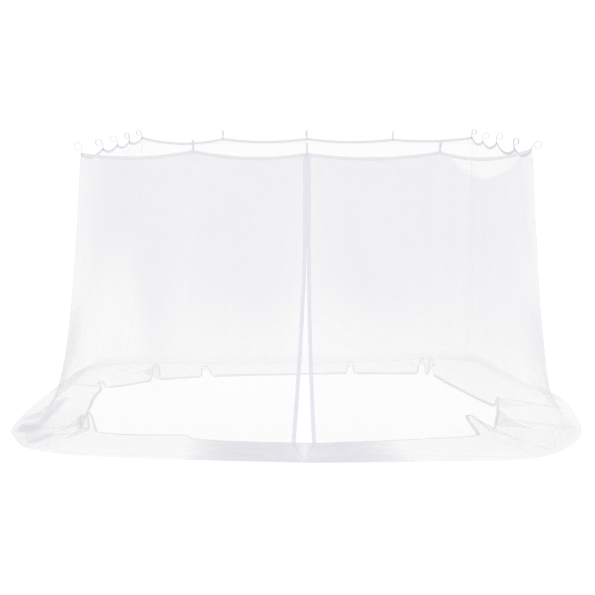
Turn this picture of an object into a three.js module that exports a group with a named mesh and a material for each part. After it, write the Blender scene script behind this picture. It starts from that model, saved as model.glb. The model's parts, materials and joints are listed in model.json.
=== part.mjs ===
// Gazebo mosquito net: four sheer walls hung from sixteen open hooks, with a zipped front.
// The walls are longer than the hanging height, so each one sweeps out at its foot, folds over
// and runs back in along the floor to a taped hem. The hem's spare length stands in narrow pleats.
// Millimetres, +Z up. The front is at -Y. The origin is at the floor, under the middle of the box.
import * as THREE from 'three';

// Cloth and tapes
const CLOTH_THICKNESS = 2;
const TAPE_WIDTH = 20;            // heading and hem binding
const ZIP_TAPE_WIDTH = 25;        // one side of the zip
const PIECE_GAP = 0.6;            // between pieces that are sewn together
const FLOOR_LAYER = CLOTH_THICKNESS / 2;   // height of the middle of the cloth that lies on the floor
const BEND_REACH = 35;            // where the wall starts to round over into the floor layer
const COLUMN_PITCH = 150;         // spacing of the cloth's sections
const NORMAL_REACH = 0.012;       // share of a bay over which the cloth's direction is taken
const PLAN_REACH = 0.02;          // share of a bay over which the line of the wall or hem is taken

// Zip
const ZIP_CLOSED_TO = 1463;       // the front is closed from the top down to this height
const ZIP_OPENING = { left: 67, right: 42 };  // how far each edge stands off the middle at the floor
const OPENING_FADE = 0.45;        // share of a bay over which the leaf is drawn aside
const FLOOR_CLOSING = 6;          // how fast the leaves meet again on the floor layer
const ZIP_HALF_GAP = 0.3;

// Pleats of the hem
const PLEAT_FADE = 1.3;           // how fast a pleat sinks from the hem towards the outer fold

// Folds of the walls fade in over these shares of the drop, and of a bay beside the zip
const FOLD_FADE = 0.15;
const EDGE_FADE = 0.12;
const ZIP_FADE = 0.15;

// Hooks
const HOOK = {
  wire: 2.4, width: 11, ringRadius: 22.8, shank: 45, foot: 18, openFrom: 245, segments: 14,
};

// Slider and pull
const SLIDER = { width: 11, neck: 7, height: 15, depth: 5 };
const PULL = { width: 8, height: 26, depth: 1.6, hole: 4, eyeMargin: 2 };

const FINISHES = {
  net: { color: 0xeceaf0, roughness: 0.9 },
  tape: { color: 0xd9d8e2, roughness: 0.8 },
  zip: { color: 0xd3d4dd, roughness: 0.7 },
  hook: { color: 0xeeeeee, roughness: 0.45 },
  slider: { color: 0xf0f0f2, roughness: 0.4 },
};

// Hooks in order round the net, from the zip to the left, along the back and back to the zip.
// sag: how far the heading hangs between this hook and the next. turn: about the upright, from
// straight out of the wall. tip: how far the hook leans outwards, both in degrees.
const HOOKS = [
  { x: 0, y: -1500, z: 2047, sag: 40, out: [0, -1], turn: 0, tip: 4 },
  { x: -731, y: -1500, z: 2065, sag: 32, out: [0, -1], turn: 0, tip: 8 },
  { x: -1454, y: -1500, z: 2047, sag: 50, out: [-1, 0], turn: 6, tip: 2 },
  { x: -1458, y: -644, z: 2048, sag: 46, out: [-1, 0], turn: -8, tip: 14 },
  { x: -1461, y: 37, z: 2052, sag: 42, out: [-1, 0], turn: 4, tip: 9 },
  { x: -1464, y: 662, z: 2054, sag: 40, out: [-1, 0], turn: 48, tip: 4 },
  { x: -1469, y: 1500, z: 2066, sag: 59, out: [-1, 0], turn: -24, tip: 22 },
  { x: -748, y: 1500, z: 2056, sag: 32, out: [0, 1], turn: 0, tip: 6 },
  { x: 0, y: 1500, z: 2056, sag: 33, out: [0, 1], turn: 6, tip: 5 },
  { x: 766, y: 1500, z: 2050, sag: 30, out: [0, 1], turn: -5, tip: 8 },
  { x: 1472, y: 1500, z: 2066, sag: 40, out: [1, 0], turn: 30, tip: 6 },
  { x: 1466, y: 805, z: 2054, sag: 45, out: [1, 0], turn: -4, tip: 8 },
  { x: 1459, y: 23, z: 2069, sag: 50, out: [1, 0], turn: 5, tip: 5 },
  { x: 1452, y: -844, z: 2052, sag: 48, out: [1, 0], turn: 32, tip: -8 },
  { x: 1446, y: -1500, z: 2076, sag: 64, out: [1, 0], turn: 4, tip: 38 },
  { x: 857, y: -1500, z: 2058, sag: 44, out: [0, -1], turn: 0, tip: 6 },
  { x: 0, y: -1500, z: 2047, sag: 0 },
];

// Outer fold on the floor; at counts hooks from the zip
const FOLD = [
  { at: 0, x: 0, y: -1595 }, { at: 1, x: -850, y: -1525 }, { at: 1.5, x: -1300, y: -1472 },
  { at: 1.8, x: -1620, y: -1408 }, { at: 2, x: -1799, y: -1338 }, { at: 2.3, x: -1985, y: -1215 },
  { at: 2.55, x: -2090, y: -1020 }, { at: 2.8, x: -2185, y: -763 }, { at: 3.2, x: -2200, y: -420 },
  { at: 4, x: -2172, y: 120 }, { at: 5, x: -2122, y: 652 }, { at: 5.5, x: -2085, y: 1031 },
  { at: 5.75, x: -1960, y: 1400 }, { at: 6, x: -1710, y: 1555 }, { at: 7, x: -925, y: 1570 },
  { at: 8, x: 0, y: 1570 }, { at: 9, x: 800, y: 1680 }, { at: 9.5, x: 1214, y: 1789 },
  { at: 10, x: 1490, y: 1715 }, { at: 10.3, x: 1660, y: 1500 }, { at: 11, x: 1850, y: 800 },
  { at: 11.3, x: 1928, y: 582 }, { at: 11.6, x: 2023, y: 407 }, { at: 12, x: 2095, y: 91 },
  { at: 12.4, x: 2092, y: -150 }, { at: 13, x: 2055, y: -633 }, { at: 13.4, x: 1980, y: -942 },
  { at: 13.7, x: 1872, y: -1158 }, { at: 14, x: 1705, y: -1375 }, { at: 14.3, x: 1500, y: -1505 },
  { at: 14.6, x: 1280, y: -1545 }, { at: 15, x: 950, y: -1566 }, { at: 16, x: 0, y: -1600 },
];

// Hem on the floor
const HEM = [
  { at: 0, x: 0, y: -1116 }, { at: 0.55, x: -450, y: -1060 }, { at: 0.96, x: -828, y: -985 },
  { at: 1.04, x: -868, y: -907 }, { at: 1.5, x: -1180, y: -895 }, { at: 1.9, x: -1450, y: -862 },
  { at: 2.1, x: -1565, y: -790 }, { at: 2.35, x: -1650, y: -700 }, { at: 3, x: -1690, y: -185 },
  { at: 4, x: -1712, y: 200 }, { at: 4.9, x: -1700, y: 460 }, { at: 5.15, x: -1640, y: 535 },
  { at: 5.5, x: -1470, y: 655 }, { at: 5.88, x: -1291, y: 802 }, { at: 6.2, x: -1205, y: 865 },
  { at: 7, x: -876, y: 968 }, { at: 8, x: 0, y: 1045 }, { at: 8.5, x: 381, y: 1065 },
  { at: 9.3, x: 1016, y: 1052 }, { at: 9.7, x: 1100, y: 985 }, { at: 10.5, x: 1185, y: 700 },
  { at: 12, x: 1408, y: 45 }, { at: 12.25, x: 1475, y: -150 }, { at: 13, x: 1415, y: -520 },
  { at: 13.5, x: 1370, y: -740 }, { at: 13.85, x: 1300, y: -850 }, { at: 14.15, x: 1235, y: -935 },
  { at: 15, x: 804, y: -1030 }, { at: 16, x: 0, y: -1125 },
];

// How the wall swings out to its foot. even: the share of the travel that grows evenly down the
// drop. power: how late the rest of it comes. The corner seams hang straighter than the walls.
const SWEEP = [
  { at: 0, even: 0.25, power: 5 }, { at: 1.6, even: 0.25, power: 4.5 }, { at: 2, even: 0.37, power: 3 },
  { at: 2.5, even: 0.22, power: 5.5 }, { at: 3, even: 0.22, power: 6 }, { at: 5.6, even: 0.25, power: 5 },
  { at: 6, even: 0.6, power: 3 }, { at: 6.4, even: 0.25, power: 5 }, { at: 9.6, even: 0.25, power: 5 },
  { at: 10, even: 0.6, power: 3 }, { at: 10.4, even: 0.25, power: 5 }, { at: 13, even: 0.22, power: 6 },
  { at: 13.7, even: 0.3, power: 4 }, { at: 14, even: 0.55, power: 3 }, { at: 14.3, even: 0.2, power: 3.5 },
  { at: 14.8, even: 0.25, power: 5 }, { at: 16, even: 0.25, power: 5 },
];

// Standing pleats of the hem: height, width at the floor and width at the crest
const PLEATS = [
  { at: 2.08, height: 155, foot: 62, crest: 26 },
  { at: 2.42, height: 98, foot: 58, crest: 30 },
  { at: 5.0, height: 74, foot: 54, crest: 26 },
  { at: 5.88, height: 155, foot: 64, crest: 34 },
  { at: 7.0, height: 112, foot: 86, crest: 30 },
  { at: 8.5, height: 138, foot: 60, crest: 28 },
  { at: 9.3, height: 170, foot: 58, crest: 24 },
  { at: 9.62, height: 176, foot: 56, crest: 30 },
  { at: 12.25, height: 100, foot: 62, crest: 30 },
  { at: 13.42, height: 143, foot: 66, crest: 34 },
  { at: 13.9, height: 148, foot: 72, crest: 30 },
];

// Folds of the walls. width: share of a bay. depth: out of the wall. lean: how far the fold moves
// round the net from top to floor, in bays. from, to: the share of the drop that it covers.
const FOLDS = [
  { at: 0.35, width: 0.16, depth: 18, lean: 0.45, from: 0.05, to: 0.9 },
  { at: 0.8, width: 0.18, depth: -16, lean: 0.5, from: 0.1, to: 1 },
  { at: 1.1, width: 0.2, depth: 16, lean: 0.3, from: 0, to: 0.8 },
  { at: 1.75, width: 0.14, depth: 16, lean: 0, from: 0.1, to: 1 },
  { at: 2.25, width: 0.13, depth: 30, lean: 0.05, from: 0, to: 1 },
  { at: 2.6, width: 0.14, depth: -28, lean: 0.05, from: 0, to: 1 },
  { at: 3.0, width: 0.16, depth: 28, lean: 0, from: 0, to: 1 },
  { at: 3.5, width: 0.16, depth: -24, lean: 0, from: 0.05, to: 1 },
  { at: 4.1, width: 0.18, depth: 26, lean: 0, from: 0, to: 0.95 },
  { at: 5.1, width: 0.18, depth: 24, lean: 0.1, from: 0, to: 0.9 },
  { at: 6.7, width: 0.2, depth: 20, lean: 0, from: 0, to: 0.9 },
  { at: 7.6, width: 0.2, depth: -18, lean: -0.1, from: 0.1, to: 0.95 },
  { at: 8.6, width: 0.2, depth: 18, lean: 0, from: 0, to: 0.9 },
  { at: 9.4, width: 0.18, depth: -22, lean: -0.2, from: 0.1, to: 1 },
  { at: 10.8, width: 0.18, depth: 26, lean: 0, from: 0, to: 1 },
  { at: 11.5, width: 0.16, depth: -26, lean: 0, from: 0.05, to: 1 },
  { at: 12.2, width: 0.16, depth: 28, lean: 0, from: 0, to: 1 },
  { at: 12.75, width: 0.14, depth: -26, lean: 0.05, from: 0, to: 1 },
  { at: 13.3, width: 0.14, depth: 30, lean: 0.05, from: 0, to: 1 },
  { at: 13.7, width: 0.12, depth: -24, lean: 0.05, from: 0, to: 1 },
  { at: 14.45, width: 0.2, depth: 26, lean: -0.12, from: 0.03, to: 0.75 },
  { at: 15.65, width: 0.16, depth: 18, lean: -0.4, from: 0.05, to: 0.9 },
];

// Crumpled floor layer on both sides of the zip: ridges that run along the front
const CRUMPLES = [
  { from: -0.2, to: 1.05, height: 30, ridges: 2 },
  { from: 14.9, to: 16.2, height: 28, ridges: 2 },
];

const CRUMPLE_SHARE = 0.88;       // of the floor layer, from the outer fold
const CRUMPLE_FADE = 0.5;         // share of a bay over which a crumple dies out sideways

const clamp = (value, low, high) => Math.min(high, Math.max(low, value));
const lerp = (a, b, k) => a + (b - a) * k;

// Smooth curve through a table's column that never overshoots its rows
function curve(table, column) {
  const at = table.map((row) => row.at);
  const value = table.map((row) => row[column]);
  const last = at.length - 1;
  const step = [];
  for (let i = 0; i < last; i += 1) {
    step.push((value[i + 1] - value[i]) / (at[i + 1] - at[i]));
  }
  const slope = value.map((_, i) => {
    if (i === 0) return step[0];
    if (i === last) return step[last - 1];
    return step[i - 1] * step[i] > 0 ? 2 / (1 / step[i - 1] + 1 / step[i]) : 0;
  });
  return (u) => {
    let i = 0;
    while (i < last - 1 && u > at[i + 1]) i += 1;
    const width = at[i + 1] - at[i];
    const k = (u - at[i]) / width;
    const rise = k * k * (3 - 2 * k);
    const start = k * (1 - k) * (1 - k) * width;
    const end = k * k * (k - 1) * width;
    return lerp(value[i], value[i + 1], rise) + slope[i] * start + slope[i + 1] * end;
  };
}

const foldX = curve(FOLD, 'x');
const foldY = curve(FOLD, 'y');
const hemX = curve(HEM, 'x');
const hemY = curve(HEM, 'y');
const sweepEven = curve(SWEEP, 'even');
const sweepPower = curve(SWEEP, 'power');
const lastStation = HOOKS.length - 1;

// Top edge: straight from hook to hook in plan, sagging between them
function topEdge(u) {
  const i = clamp(Math.floor(u), 0, lastStation - 1);
  const k = u - i;
  const [a, b] = [HOOKS[i], HOOKS[i + 1]];
  const sag = a.sag * 4 * k * (1 - k);
  return new THREE.Vector3(lerp(a.x, b.x, k), lerp(a.y, b.y, k), lerp(a.z, b.z, k) - sag);
}

// How far the leaf's edge is drawn aside at height z
function opening(u, z) {
  const drawn = clamp((ZIP_CLOSED_TO - z) / ZIP_CLOSED_TO, 0, 1);
  const left = -ZIP_OPENING.left * Math.exp(-((u / OPENING_FADE) ** 2));
  const right = ZIP_OPENING.right * Math.exp(-(((lastStation - u) / OPENING_FADE) ** 2));
  return drawn * (left + right);
}

// The share of the travel to the foot that is reached at a share t of the drop
function sweep(u, t) {
  const even = sweepEven(u);
  return even * t + (1 - even) * t ** sweepPower(u);
}

// Horizontal direction out of the wall
function outward(u) {
  const a = topEdge(clamp(u - PLAN_REACH, 0, lastStation));
  const b = topEdge(clamp(u + PLAN_REACH, 0, lastStation));
  return new THREE.Vector3(-(b.y - a.y), b.x - a.x, 0).normalize();
}

function foldDepth(u, t) {
  let depth = 0;
  for (const fold of FOLDS) {
    const across = (u - fold.at - fold.lean * t) / fold.width;
    const start = clamp((t - fold.from) / FOLD_FADE, 0, 1);
    const end = clamp((fold.to - t) / FOLD_FADE + 1, 0, 1);
    depth += fold.depth * start * end * Math.exp(-across * across);
  }
  const besideZip = clamp(Math.min(u, lastStation - u) / ZIP_FADE, 0, 1);
  return depth * besideZip * clamp(t / EDGE_FADE, 0, 1) * clamp((1 - t) / EDGE_FADE, 0, 1);
}

function foldLine(u) {
  return new THREE.Vector3(foldX(u) + opening(u, 0), foldY(u), FLOOR_LAYER);
}

function hemLine(u) {
  return new THREE.Vector3(hemX(u), hemY(u), FLOOR_LAYER);
}

function wallPoint(u, t) {
  const top = topEdge(u);
  const share = sweep(u, t);
  const z = lerp(top.z, FLOOR_LAYER, t);
  const point = new THREE.Vector3(lerp(top.x, foldX(u), share), lerp(top.y, foldY(u), share), z);
  point.x += opening(u, z);
  return point.addScaledVector(outward(u), foldDepth(u, t));
}

// Millimetres of hem for each bay
function hemPace(u) {
  return hemLine(u + PLAN_REACH).distanceTo(hemLine(u - PLAN_REACH)) / (2 * PLAN_REACH);
}

function pleatLift(u, f) {
  let lift = 0;
  for (const pleat of PLEATS) {
    const off = Math.abs(u - pleat.at) * hemPace(pleat.at);
    const side = (pleat.foot - pleat.crest) / 2;
    lift += pleat.height * clamp((pleat.foot / 2 - off) / side, 0, 1);
  }
  return lift * f ** PLEAT_FADE;
}

function crumple(u, f) {
  let lift = 0;
  for (const zone of CRUMPLES) {
    const inside = Math.min(u - zone.from, zone.to - u);
    const fade = clamp(inside / CRUMPLE_FADE, 0, 1);
    const across = Math.min(f / CRUMPLE_SHARE, 1);
    lift += zone.height * fade * Math.sin(Math.PI * zone.ridges * across) ** 2;
  }
  return lift;
}

function floorPoint(u, f) {
  const point = foldLine(u).lerp(hemLine(u), f);
  point.x += opening(u, 0) * ((1 - f) ** FLOOR_CLOSING - (1 - f));
  point.z += pleatLift(u, f) + crumple(u, f);
  return point;
}

// Rows of the cloth, from the top edge to the hem
const wallRow = (t) => (u) => wallPoint(u, t);
const topPoint = (drop) => (u) => wallPoint(u, drop / topEdge(u).z);
const floorRow = (f) => (u) => floorPoint(u, f);
const floorRowBefore = (reach) => (u) => {
  return floorPoint(u, 1 - reach / foldLine(u).distanceTo(hemLine(u)));
};

// Rows at the top are thickened level, and those at the hem share one slope, so that tape and
// net meet squarely
const topRow = (drop) => Object.assign(topPoint(drop), { level: true });
const edgeSlope = (u) => floorPoint(u, 1).sub(floorRowBefore(3 * TAPE_WIDTH)(u));
const edgeRow = (reach) => Object.assign(floorRowBefore(reach), { slope: edgeSlope });

const bendRow = (k) => (u) => {
  const from = wallPoint(u, 1 - BEND_REACH / topEdge(u).z);
  const corner = foldLine(u);
  const to = floorPoint(u, BEND_REACH / foldLine(u).distanceTo(hemLine(u)));
  return from.lerp(corner, k).lerp(corner.clone().lerp(to, k), k);
};

// Sections of the cloth between two places round the net, one of them at each place in extra
function columns(from, to, extra = []) {
  const fixed = [from, to, ...extra];
  for (let i = Math.ceil(from); i <= to; i += 1) fixed.push(i);
  for (const pleat of PLEATS) {
    for (const width of [pleat.foot, pleat.crest]) {
      const half = width / 2 / hemPace(pleat.at);
      fixed.push(pleat.at - half, pleat.at + half);
    }
  }
  const inside = fixed.filter((u) => u >= from && u <= to).sort((a, b) => a - b);
  const kept = inside.filter((u, i) => i === 0 || u > inside[i - 1]);
  const list = [kept[0]];
  for (let i = 1; i < kept.length; i += 1) {
    const wide = topEdge(kept[i]).distanceTo(topEdge(kept[i - 1]));
    const parts = Math.max(1, Math.round(wide / COLUMN_PITCH));
    for (let n = 1; n <= parts; n += 1) list.push(lerp(kept[i - 1], kept[i], n / parts));
  }
  return list;
}

// Closed sheet of even thickness through a grid of points
function sheetGeometry(us, rows) {
  const grid = us.map((u) => rows.map((row) => row(u)));
  const [wide, deep] = [us.length, rows.length];
  const position = [];
  for (let i = 0; i < wide; i += 1) {
    for (let j = 0; j < deep; j += 1) {
      const ahead = rows[j](Math.min(us[i] + NORMAL_REACH, lastStation));
      const along = ahead.sub(rows[j](Math.max(us[i] - NORMAL_REACH, 0)));
      const below = grid[i][Math.min(j + 1, deep - 1)].clone();
      const down = rows[j].slope ? rows[j].slope(us[i]) : below.sub(grid[i][Math.max(j - 1, 0)]);
      const out = along.cross(down);
      if (rows[j].level) out.z = 0;
      out.normalize().multiplyScalar(CLOTH_THICKNESS / 2);
      position.push(...grid[i][j].clone().add(out).toArray());
      position.push(...grid[i][j].clone().sub(out).toArray());
    }
  }
  const outer = (i, j) => 2 * (i * deep + j);
  const inner = (i, j) => 2 * (i * deep + j) + 1;
  const index = [];
  const quad = (a, b, c, d) => index.push(a, b, c, a, c, d);
  for (let i = 0; i < wide - 1; i += 1) {
    for (let j = 0; j < deep - 1; j += 1) {
      quad(outer(i, j), outer(i + 1, j), outer(i + 1, j + 1), outer(i, j + 1));
      quad(inner(i, j), inner(i, j + 1), inner(i + 1, j + 1), inner(i + 1, j));
    }
    quad(outer(i, 0), inner(i, 0), inner(i + 1, 0), outer(i + 1, 0));
    quad(outer(i, deep - 1), outer(i + 1, deep - 1), inner(i + 1, deep - 1), inner(i, deep - 1));
  }
  for (let j = 0; j < deep - 1; j += 1) {
    quad(outer(0, j), outer(0, j + 1), inner(0, j + 1), inner(0, j));
    quad(outer(wide - 1, j), inner(wide - 1, j), inner(wide - 1, j + 1), outer(wide - 1, j + 1));
  }
  const geometry = new THREE.BufferGeometry();
  geometry.setAttribute('position', new THREE.Float32BufferAttribute(position, 3));
  geometry.setIndex(index);
  return geometry;
}

const net = new THREE.Group();

function addMesh(name, geometry, finish) {
  const mesh = new THREE.Mesh(geometry, new THREE.MeshStandardMaterial({ ...finish, metalness: 0 }));
  mesh.name = name;
  net.add(mesh);
  return mesh;
}

const wallShares = [0.1, 0.24, 0.4, 0.56, 0.7, 0.82, 0.91];
const bendShares = [0, 0.35, 0.7];
const headingRows = [topRow(0), topRow(TAPE_WIDTH)];
const hemRows = [edgeRow(TAPE_WIDTH), edgeRow(0)];

function panelRows(floorShares) {
  return [
    topRow(TAPE_WIDTH + PIECE_GAP),
    ...wallShares.map(wallRow),
    ...bendShares.map(bendRow),
    ...floorShares.map(floorRow),
    edgeRow(TAPE_WIDTH + PIECE_GAP),
  ];
}

// Net panels with their heading and hem tapes
const leftBay = Math.abs(HOOKS[1].x - HOOKS[0].x);
const rightBay = Math.abs(HOOKS[15].x);
const leftZipEdge = (ZIP_TAPE_WIDTH + PIECE_GAP) / leftBay;
const rightZipEdge = lastStation - (ZIP_TAPE_WIDTH + PIECE_GAP) / rightBay;
const seam = PIECE_GAP / leftBay / 2;
const plainFloor = [0.12, 0.4, 0.7];
const crumpledFloor = [0.125, 0.25, 0.375, 0.5, 0.625, 0.75, 0.875].map((k) => k * CRUMPLE_SHARE);
crumpledFloor.push(CRUMPLE_SHARE);
const PANELS = [
  { side: 'front_left', panel: 'leaf_left', from: ZIP_HALF_GAP / leftBay, netFrom: leftZipEdge,
    to: 2 - seam, floor: crumpledFloor },
  { side: 'left', panel: 'wall_left', from: 2 + seam, to: 6 - seam, floor: plainFloor },
  { side: 'back', panel: 'wall_back', from: 6 + seam, to: 10 - seam, floor: plainFloor },
  { side: 'right', panel: 'wall_right', from: 10 + seam, to: 14 - seam, floor: plainFloor },
  { side: 'front_right', panel: 'leaf_right', from: 14 + seam, to: lastStation - ZIP_HALF_GAP / rightBay,
    netTo: rightZipEdge, floor: crumpledFloor },
];
for (const { side, panel, from, to, netFrom = from, netTo = to, floor } of PANELS) {
  const us = columns(from, to, [netFrom, netTo]);
  const netUs = us.filter((u) => u >= netFrom && u <= netTo);
  addMesh(panel, sheetGeometry(netUs, panelRows(floor)), FINISHES.net);
  addMesh(`heading_${side}`, sheetGeometry(us, headingRows), FINISHES.tape);
  addMesh(`hem_${side}`, sheetGeometry(us, hemRows), FINISHES.tape);
}

// Zip tapes, down the front and in along the floor
const zipLeft = [ZIP_HALF_GAP / leftBay, ZIP_TAPE_WIDTH / leftBay];
const zipRight = [lastStation - ZIP_TAPE_WIDTH / rightBay, lastStation - ZIP_HALF_GAP / rightBay];
addMesh('zip_tape_left', sheetGeometry(zipLeft, panelRows(crumpledFloor)), FINISHES.zip);
addMesh('zip_tape_right', sheetGeometry(zipRight, panelRows(crumpledFloor)), FINISHES.zip);

// Slider with its pull, in front of the place where the zip parts
function sliderShape() {
  const { width, neck, height } = SLIDER;
  const shape = new THREE.Shape();
  shape.moveTo(-neck / 2, -height / 2);
  shape.lineTo(neck / 2, -height / 2);
  shape.lineTo(width / 2, height / 6);
  shape.lineTo(width / 2, height / 2);
  shape.lineTo(-width / 2, height / 2);
  shape.lineTo(-width / 2, height / 6);
  shape.closePath();
  return shape;
}

function pullShape() {
  const { width, height, hole, eyeMargin } = PULL;
  const shape = new THREE.Shape();
  shape.moveTo(-width / 2, -height / 2 + width / 2);
  shape.absarc(0, -height / 2 + width / 2, width / 2, Math.PI, 2 * Math.PI, false);
  shape.lineTo(width / 2, height / 2);
  shape.lineTo(-width / 2, height / 2);
  shape.closePath();
  const eye = new THREE.Path();
  eye.absarc(0, -height / 2 + width / 2 + eyeMargin, hole / 2, 0, 2 * Math.PI, true);
  shape.holes.push(eye);
  return shape;
}

const zipFront = wallPoint(0, 1 - ZIP_CLOSED_TO / HOOKS[0].z).y - CLOTH_THICKNESS / 2 - PIECE_GAP;
const upright = new THREE.Euler(Math.PI / 2, 0, 0);
const slider = addMesh('zip_slider',
  new THREE.ExtrudeGeometry(sliderShape(), { depth: SLIDER.depth, bevelEnabled: false }),
  FINISHES.slider);
slider.rotation.copy(upright);
slider.position.set(0, zipFront, ZIP_CLOSED_TO);
const pull = addMesh('zip_pull',
  new THREE.ExtrudeGeometry(pullShape(), { depth: PULL.depth, bevelEnabled: false, curveSegments: 6 }),
  FINISHES.slider);
pull.rotation.copy(upright);
pull.position.set(0, zipFront - SLIDER.depth - PIECE_GAP, ZIP_CLOSED_TO - PULL.height / 2);

// Open hook: a flat foot behind the heading, then a strip that leans out by its tip, goes over
// the top and curls in below
function hookShape(tip) {
  const { wire, ringRadius, shank, foot, openFrom } = HOOK;
  const half = wire / 2;
  const end = THREE.MathUtils.degToRad(openFrom) - tip;
  const start = Math.PI - tip;
  const centre = new THREE.Vector2(ringRadius, shank).rotateAround(new THREE.Vector2(), -tip);
  const shape = new THREE.Shape();
  shape.moveTo(-half, -foot);
  shape.lineTo(-half, 0);
  shape.absarc(centre.x, centre.y, ringRadius + half, start, end, true);
  shape.absarc(centre.x, centre.y, ringRadius - half, end, start, false);
  shape.lineTo(half, 0);
  shape.lineTo(half, -foot);
  shape.closePath();
  return shape;
}

HOOKS.slice(0, lastStation).forEach((hook, i) => {
  const name = `hook_${String(i + 1).padStart(2, '0')}`;
  const turn = THREE.MathUtils.degToRad(hook.turn);
  const geometry = new THREE.ExtrudeGeometry(hookShape(THREE.MathUtils.degToRad(hook.tip)), {
    depth: HOOK.width, bevelEnabled: false, curveSegments: HOOK.segments,
  });
  geometry.translate(0, 0, -HOOK.width / 2);
  const mesh = addMesh(name, geometry, FINISHES.hook);
  const placed = new THREE.Group();
  placed.add(mesh);
  net.add(placed);
  // The foot stands inside the heading; in a corner it clears the headings of both walls
  const thin = Math.abs(HOOK.wire / 2 * Math.cos(turn)) + Math.abs(HOOK.width / 2 * Math.sin(turn));
  const wide = Math.abs(HOOK.width / 2 * Math.cos(turn)) + Math.abs(HOOK.wire / 2 * Math.sin(turn));
  const clear = CLOTH_THICKNESS / 2 + PIECE_GAP;
  const corner = i % 4 === 2;
  const inset = thin + clear;
  placed.position.set(hook.x - hook.out[0] * inset, hook.y - hook.out[1] * inset, hook.z);
  if (corner) placed.position.y -= Math.sign(hook.y) * (wide + clear);
  placed.rotation.z = Math.atan2(hook.out[1], hook.out[0]) + turn;
  mesh.rotation.x = Math.PI / 2;
});

// The origin goes to the floor, under the middle of the whole net's box
const group = new THREE.Group();
group.add(net);
net.updateMatrixWorld(true);
const box = new THREE.Box3().setFromObject(net, true);
net.position.set(-(box.min.x + box.max.x) / 2, -(box.min.y + box.max.y) / 2, -box.min.z);

export default group;
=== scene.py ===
import json
import math
import bpy
import bmesh
import numpy as np
from mathutils import Matrix, Vector


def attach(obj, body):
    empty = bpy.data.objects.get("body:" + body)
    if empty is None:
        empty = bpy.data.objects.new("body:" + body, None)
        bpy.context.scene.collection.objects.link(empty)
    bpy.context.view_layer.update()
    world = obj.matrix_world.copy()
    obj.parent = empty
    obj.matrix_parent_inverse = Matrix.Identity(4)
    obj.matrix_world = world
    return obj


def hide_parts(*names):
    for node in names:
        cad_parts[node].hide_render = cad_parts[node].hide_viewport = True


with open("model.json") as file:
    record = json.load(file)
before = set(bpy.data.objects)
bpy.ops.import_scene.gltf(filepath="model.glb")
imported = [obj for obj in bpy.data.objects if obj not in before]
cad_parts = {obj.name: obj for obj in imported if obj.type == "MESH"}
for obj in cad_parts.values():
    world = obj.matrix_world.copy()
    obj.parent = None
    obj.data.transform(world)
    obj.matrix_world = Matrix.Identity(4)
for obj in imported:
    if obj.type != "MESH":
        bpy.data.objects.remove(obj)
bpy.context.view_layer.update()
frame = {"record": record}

# Gazebo mosquito net: sheer mesh walls on open hooks, a zipped front, and a floor layer with a
# taped hem. Metres. Positions below count from the middle of the hanging square, which the
# record's hang_line mount gives.
scene = bpy.context.scene
hangLine = next(m for m in frame["record"]["mounts"] if m["name"] == "hang_line")
middle = np.array([hangLine["pos_m"][0], hangLine["pos_m"][1], 0.0])


# Small helpers
def linear(hexColour):
    parts = [int(hexColour[i:i + 2], 16) / 255 for i in (1, 3, 5)]
    return [p / 12.92 if p <= 0.04045 else ((p + 0.055) / 1.055) ** 2.4 for p in parts] + [1.0]


def setNode(tree, node, inputs):  # a value that is a node or one of its outputs is linked
    for name, value in inputs.items():
        if isinstance(value, bpy.types.Node):
            value = value.outputs[0]
        if isinstance(value, bpy.types.NodeSocket):
            tree.links.new(value, node.inputs[name])
        elif isinstance(name, str) and hasattr(node, name):
            setattr(node, name, value)
        else:
            node.inputs[name].default_value = value
    return node


def addNode(tree, kind, inputs={}):
    return setNode(tree, tree.nodes.new(kind), inputs)


def smooth(value, low, high):
    k = np.clip((value - low) / (high - low), 0, 1)
    return k * k * (3 - 2 * k)


def hump(away, reach):  # 1 at the middle, falling off to 0 past the reach
    return np.exp(-(away / reach) ** 2)


def unit(ways):
    return ways / np.maximum(np.linalg.norm(ways, axis=-1, keepdims=True), 1e-12)


def runAlong(points):  # metres run at each point of a line, or of each row of a grid
    steps = np.linalg.norm(np.diff(points, axis=-2), axis=-1)
    return np.concatenate([np.zeros_like(steps[..., :1]), np.cumsum(steps, axis=-1)], -1)


relief = np.random.default_rng(12).uniform(-1, 1, (64, 64))


def rumple(x, y):  # smooth uneven relief between -1 and 1
    x, y = np.broadcast_arrays(np.asarray(x, float), np.asarray(y, float))
    i, j = np.floor(x).astype(int), np.floor(y).astype(int)
    a, b = x - i, y - j
    a, b = a * a * (3 - 2 * a), b * b * (3 - 2 * b)
    low = relief[i % 64, j % 64] * (1 - a) + relief[(i + 1) % 64, j % 64] * a
    high = relief[i % 64, (j + 1) % 64] * (1 - a) + relief[(i + 1) % 64, (j + 1) % 64] * a
    return low * (1 - b) + high * b


def curveThrough(table, column):  # smooth curve through a table that never overshoots its rows
    at = np.array([row[0] for row in table], float)
    value = np.array([row[column] for row in table], float)
    step = np.diff(value) / np.diff(at)
    slope = np.zeros(len(at))
    slope[0], slope[-1] = step[0], step[-1]
    for k in range(1, len(at) - 1):
        if step[k - 1] * step[k] > 0:
            slope[k] = 2 / (1 / step[k - 1] + 1 / step[k])

    def read(u):
        i = np.clip(np.searchsorted(at, u, side="left") - 1, 0, len(at) - 2)
        width = at[i + 1] - at[i]
        k = (u - at[i]) / width
        rise = k * k * (3 - 2 * k)
        bend = slope[i] * k * (1 - k) ** 2 * width + slope[i + 1] * k * k * (k - 1) * width
        return value[i] + (value[i + 1] - value[i]) * rise + bend
    return read


def inScene(name, data):
    thing = bpy.data.objects.new(name, data)
    scene.collection.objects.link(thing)
    return thing


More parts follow.
